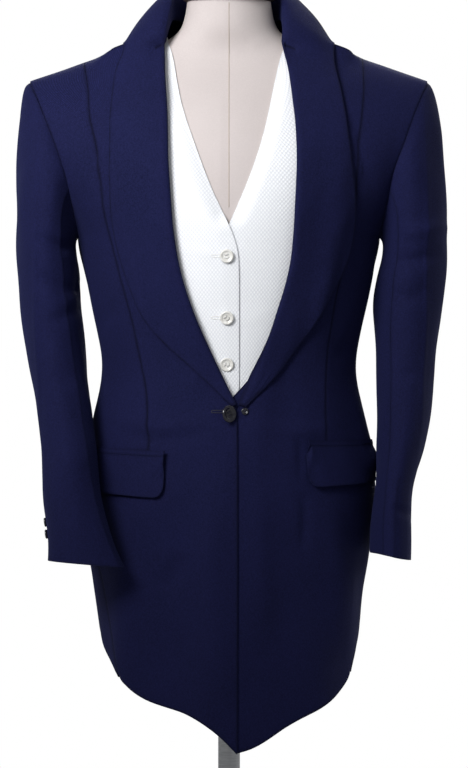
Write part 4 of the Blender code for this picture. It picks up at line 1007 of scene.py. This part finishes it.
def buttonhole(name, surface, start, end, half, radius, finish):
    sideSteps, turnSteps, sunk = 16, 6, 0.35
    outline = []
    for near, far, lift, first in ((start, end, half, pi / 2), (end, start, -half, -pi / 2)):
        for step in range(sideSteps + 1):
            outline.append((near[0] + (far[0] - near[0]) * step / sideSteps, near[1] + lift))
        for step in range(1, turnSteps):
            turn = first - pi * step / turnSteps
            outline.append((far[0] + half * cos(turn), far[1] + half * sin(turn)))
    points = []
    for x, z in outline:
        spot = surface.ray_cast(Vector((x, -1, z)), Vector((0, 1, 0)))[0]
        if spot:
            points.append(spot + Vector((0, -radius * sunk, 0)))
    threadRun(name, points, radius, True, finish)


for name, values in buttonholes.items():
    buttonhole(name, *values)
print("buttonholes worked:", len(buttonholes))

# profile is (share of the radius, share of the thickness), from the middle of the face to the back
buttonKinds = {
    "coatButton": {
        "profile": [
            (0.0, 0.62), (0.44, 0.6), (0.56, 0.66), (0.68, 0.93), (0.82, 1.0),
            (0.94, 0.86), (1.0, 0.55), (0.95, 0.25), (0.8, 0.04), (0.0, 0.0),
        ],
        "hole": 0.085,
        "holePlace": 0.2,
        "finish": "darkHorn",
        "thread": "navyThread",
        "slot": "dark_horn",
    },
    "pearlButton": {
        "profile": [
            (0.0, 0.55), (0.5, 0.52), (0.62, 0.62), (0.74, 0.93), (0.86, 1.0),
            (0.96, 0.84), (1.0, 0.5), (0.94, 0.2), (0.75, 0.02), (0.0, 0.0),
        ],
        "hole": 0.095,
        "holePlace": 0.23,
        "finish": "pearl",
        "thread": "whiteThread",
        "slot": "pearl",
    },
}


def buttonFrame(node):
    points = np.array([v.co for v in cadNodes[node].data.vertices])
    centre = points.mean(0)
    vectors = np.linalg.eigh(np.cov((points - centre).T))[1]
    face = vectors[:, 0]
    outward = np.array([centre[0], centre[1], 0.0])
    if "cuff" in node:
        axis = rightSleeveAxis if centre[0] < 0 else leftSleeveAxis
        middle = [np.interp(centre[2], axis[:, 2], axis[:, k]) for k in (0, 1)]
        outward = np.array([centre[0] - middle[0], centre[1] - middle[1], 0.0])
    if face @ outward < 0:
        face = -face
    across = vectors[:, 2]
    along = np.cross(face, across)
    flat = points - centre
    low, high = (flat @ face).min(), (flat @ face).max()
    radius = max(np.ptp(flat @ across), np.ptp(flat @ along)) / 2
    return Vector(centre), Vector(face), low, high, radius


buttonForm = {
    "steps": 40,
    "merge": 0.002,
    "holeFlare": 1.12,
    "sharp": 38.0,
    "threadRadius": 0.62,  # share of the hole's
    "threadHeight": 0.6,
    "threadLevel": 0.56,  # share of the button's thickness
}


# the turned disc with its four holes, lying on the ground
def buttonDisc(node, values, radius, thick):
    bm = bmesh.new()
    profile = [bm.verts.new((radius * r, 0, thick * h)) for r, h in values["profile"]]
    edges = [bm.edges.new(pair) for pair in zip(profile, profile[1:])]
    bmesh.ops.spin(
        bm, geom=profile + edges, cent=(0, 0, 0), axis=(0, 0, 1), angle=2 * pi,
        steps=buttonForm["steps"], use_merge=True,
    )
    bmesh.ops.remove_doubles(bm, verts=bm.verts, dist=radius * buttonForm["merge"])
    bmesh.ops.recalc_face_normals(bm, faces=bm.faces)
    disc = meshObject(node + "Disc", bm)
    smooth = disc.modifiers.new("smooth", "SUBSURF")
    smooth.levels = 1
    smooth.render_levels = 1
    bm = bmesh.new()
    place = radius * values["holePlace"]
    hole = radius * values["hole"]
    for x, y in ((1, 1), (-1, 1), (-1, -1), (1, -1)):
        bmesh.ops.create_cone(
            bm, cap_ends=True, segments=16, radius1=hole, radius2=hole * buttonForm["holeFlare"],
            depth=thick * 3, matrix=Matrix.Translation((x * place, y * place, thick / 2)),
        )
    punch = meshObject(node + "Punch", bm)
    cut = disc.modifiers.new("holes", "BOOLEAN")
    cut.object = punch
    cut.solver = "EXACT"
    mesh = bpy.data.meshes.new_from_object(disc.evaluated_get(bpy.context.evaluated_depsgraph_get()))
    bpy.data.objects.remove(disc)
    bpy.data.objects.remove(punch)
    return mesh


# two arches of thread, from hole to hole
def buttonThread(node, values, radius, thick, seat):
    bm = bmesh.new()
    place = radius * values["holePlace"]
    for y in (1, -1):
        ring = bmesh.ops.create_circle(
            bm, segments=10, radius=radius * values["hole"] * buttonForm["threadRadius"]
        )
        bmesh.ops.translate(bm, verts=ring["verts"], vec=(place, y * place, 0))
        loop = list({e for v in ring["verts"] for e in v.link_edges})
        bmesh.ops.spin(
            bm, geom=ring["verts"] + loop, cent=(0, y * place, 0), axis=(0, -1, 0), angle=pi, steps=12
        )
    bmesh.ops.holes_fill(bm, edges=[e for e in bm.edges if e.is_boundary], sides=0)
    bmesh.ops.scale(bm, vec=(1, 1, buttonForm["threadHeight"]), verts=bm.verts)
    bmesh.ops.translate(bm, vec=(0, 0, thick * buttonForm["threadLevel"]), verts=bm.verts)
    bmesh.ops.recalc_face_normals(bm, faces=bm.faces)
    bmesh.ops.transform(bm, matrix=seat, verts=bm.verts)
    thread = meshObject(node + "Thread", bm)
    thread.data.materials.append(materials[values["thread"]])
    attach(thread, "root")


def makeButton(node, kind, turn):
    values = buttonKinds[kind]
    centre, face, low, high, radius = buttonFrame(node)
    thick = high - low
    mesh = buttonDisc(node, values, radius, thick)
    spin = face.to_track_quat("Z", "Y").to_matrix().to_4x4() @ Matrix.Rotation(radians(turn), 4, "Z")
    seat = Matrix.Translation(centre + face * low) @ spin
    mesh.transform(seat)
    for polygon in mesh.polygons:
        polygon.use_smooth = True
    for edge, value in zip(mesh.edges, sharpEdges(mesh, radians(buttonForm["sharp"]))):
        edge.use_edge_sharp = value
    mesh.materials.clear()
    mesh.materials.append(materials[values["finish"]])
    button = bpy.data.objects.new(node + "Fine", mesh)
    bpy.context.scene.collection.objects.link(button)
    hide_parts(node)
    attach(button, "root")
    buttonThread(node, values, radius, thick, seat)


# the kind of each button, and how many degrees its holes are turned
buttons = {
    "front_button": ("coatButton", 25),
    "link_button": ("coatButton", 50),
    "cuff_button_right_1": ("coatButton", 10),
    "cuff_button_right_2": ("coatButton", 40),
    "cuff_button_left_1": ("coatButton", 65),
    "cuff_button_left_2": ("coatButton", 20),
    "waistcoat_button_1": ("pearlButton", 12),
    "waistcoat_button_2": ("pearlButton", 48),
    "waistcoat_button_3": ("pearlButton", 80),
}
for node, (kind, turn) in buttons.items():
    makeButton(node, kind, turn)
print("buttons made:", len(buttons))

# seams of the form's jersey cover
formSeams = {"top": 1.362, "step": 0.004, "count": 60, "proud": 0.0001, "radius": 0.00035}


def formSeam(name, side):
    points = []
    for step in range(formSeams["count"]):
        z = formSeams["top"] - step * formSeams["step"]
        spot = formSurface.ray_cast(Vector((0, side, z)), Vector((0, -side, 0)))[0]
        if spot:
            points.append(spot + Vector((0, side * formSeams["proud"], 0)))
    threadRun(name, points, formSeams["radius"], False, "beigeThread")


formSeam("frontSeam", -1.0)
formSeam("backSeam", 1.0)
print("form seams sewn")
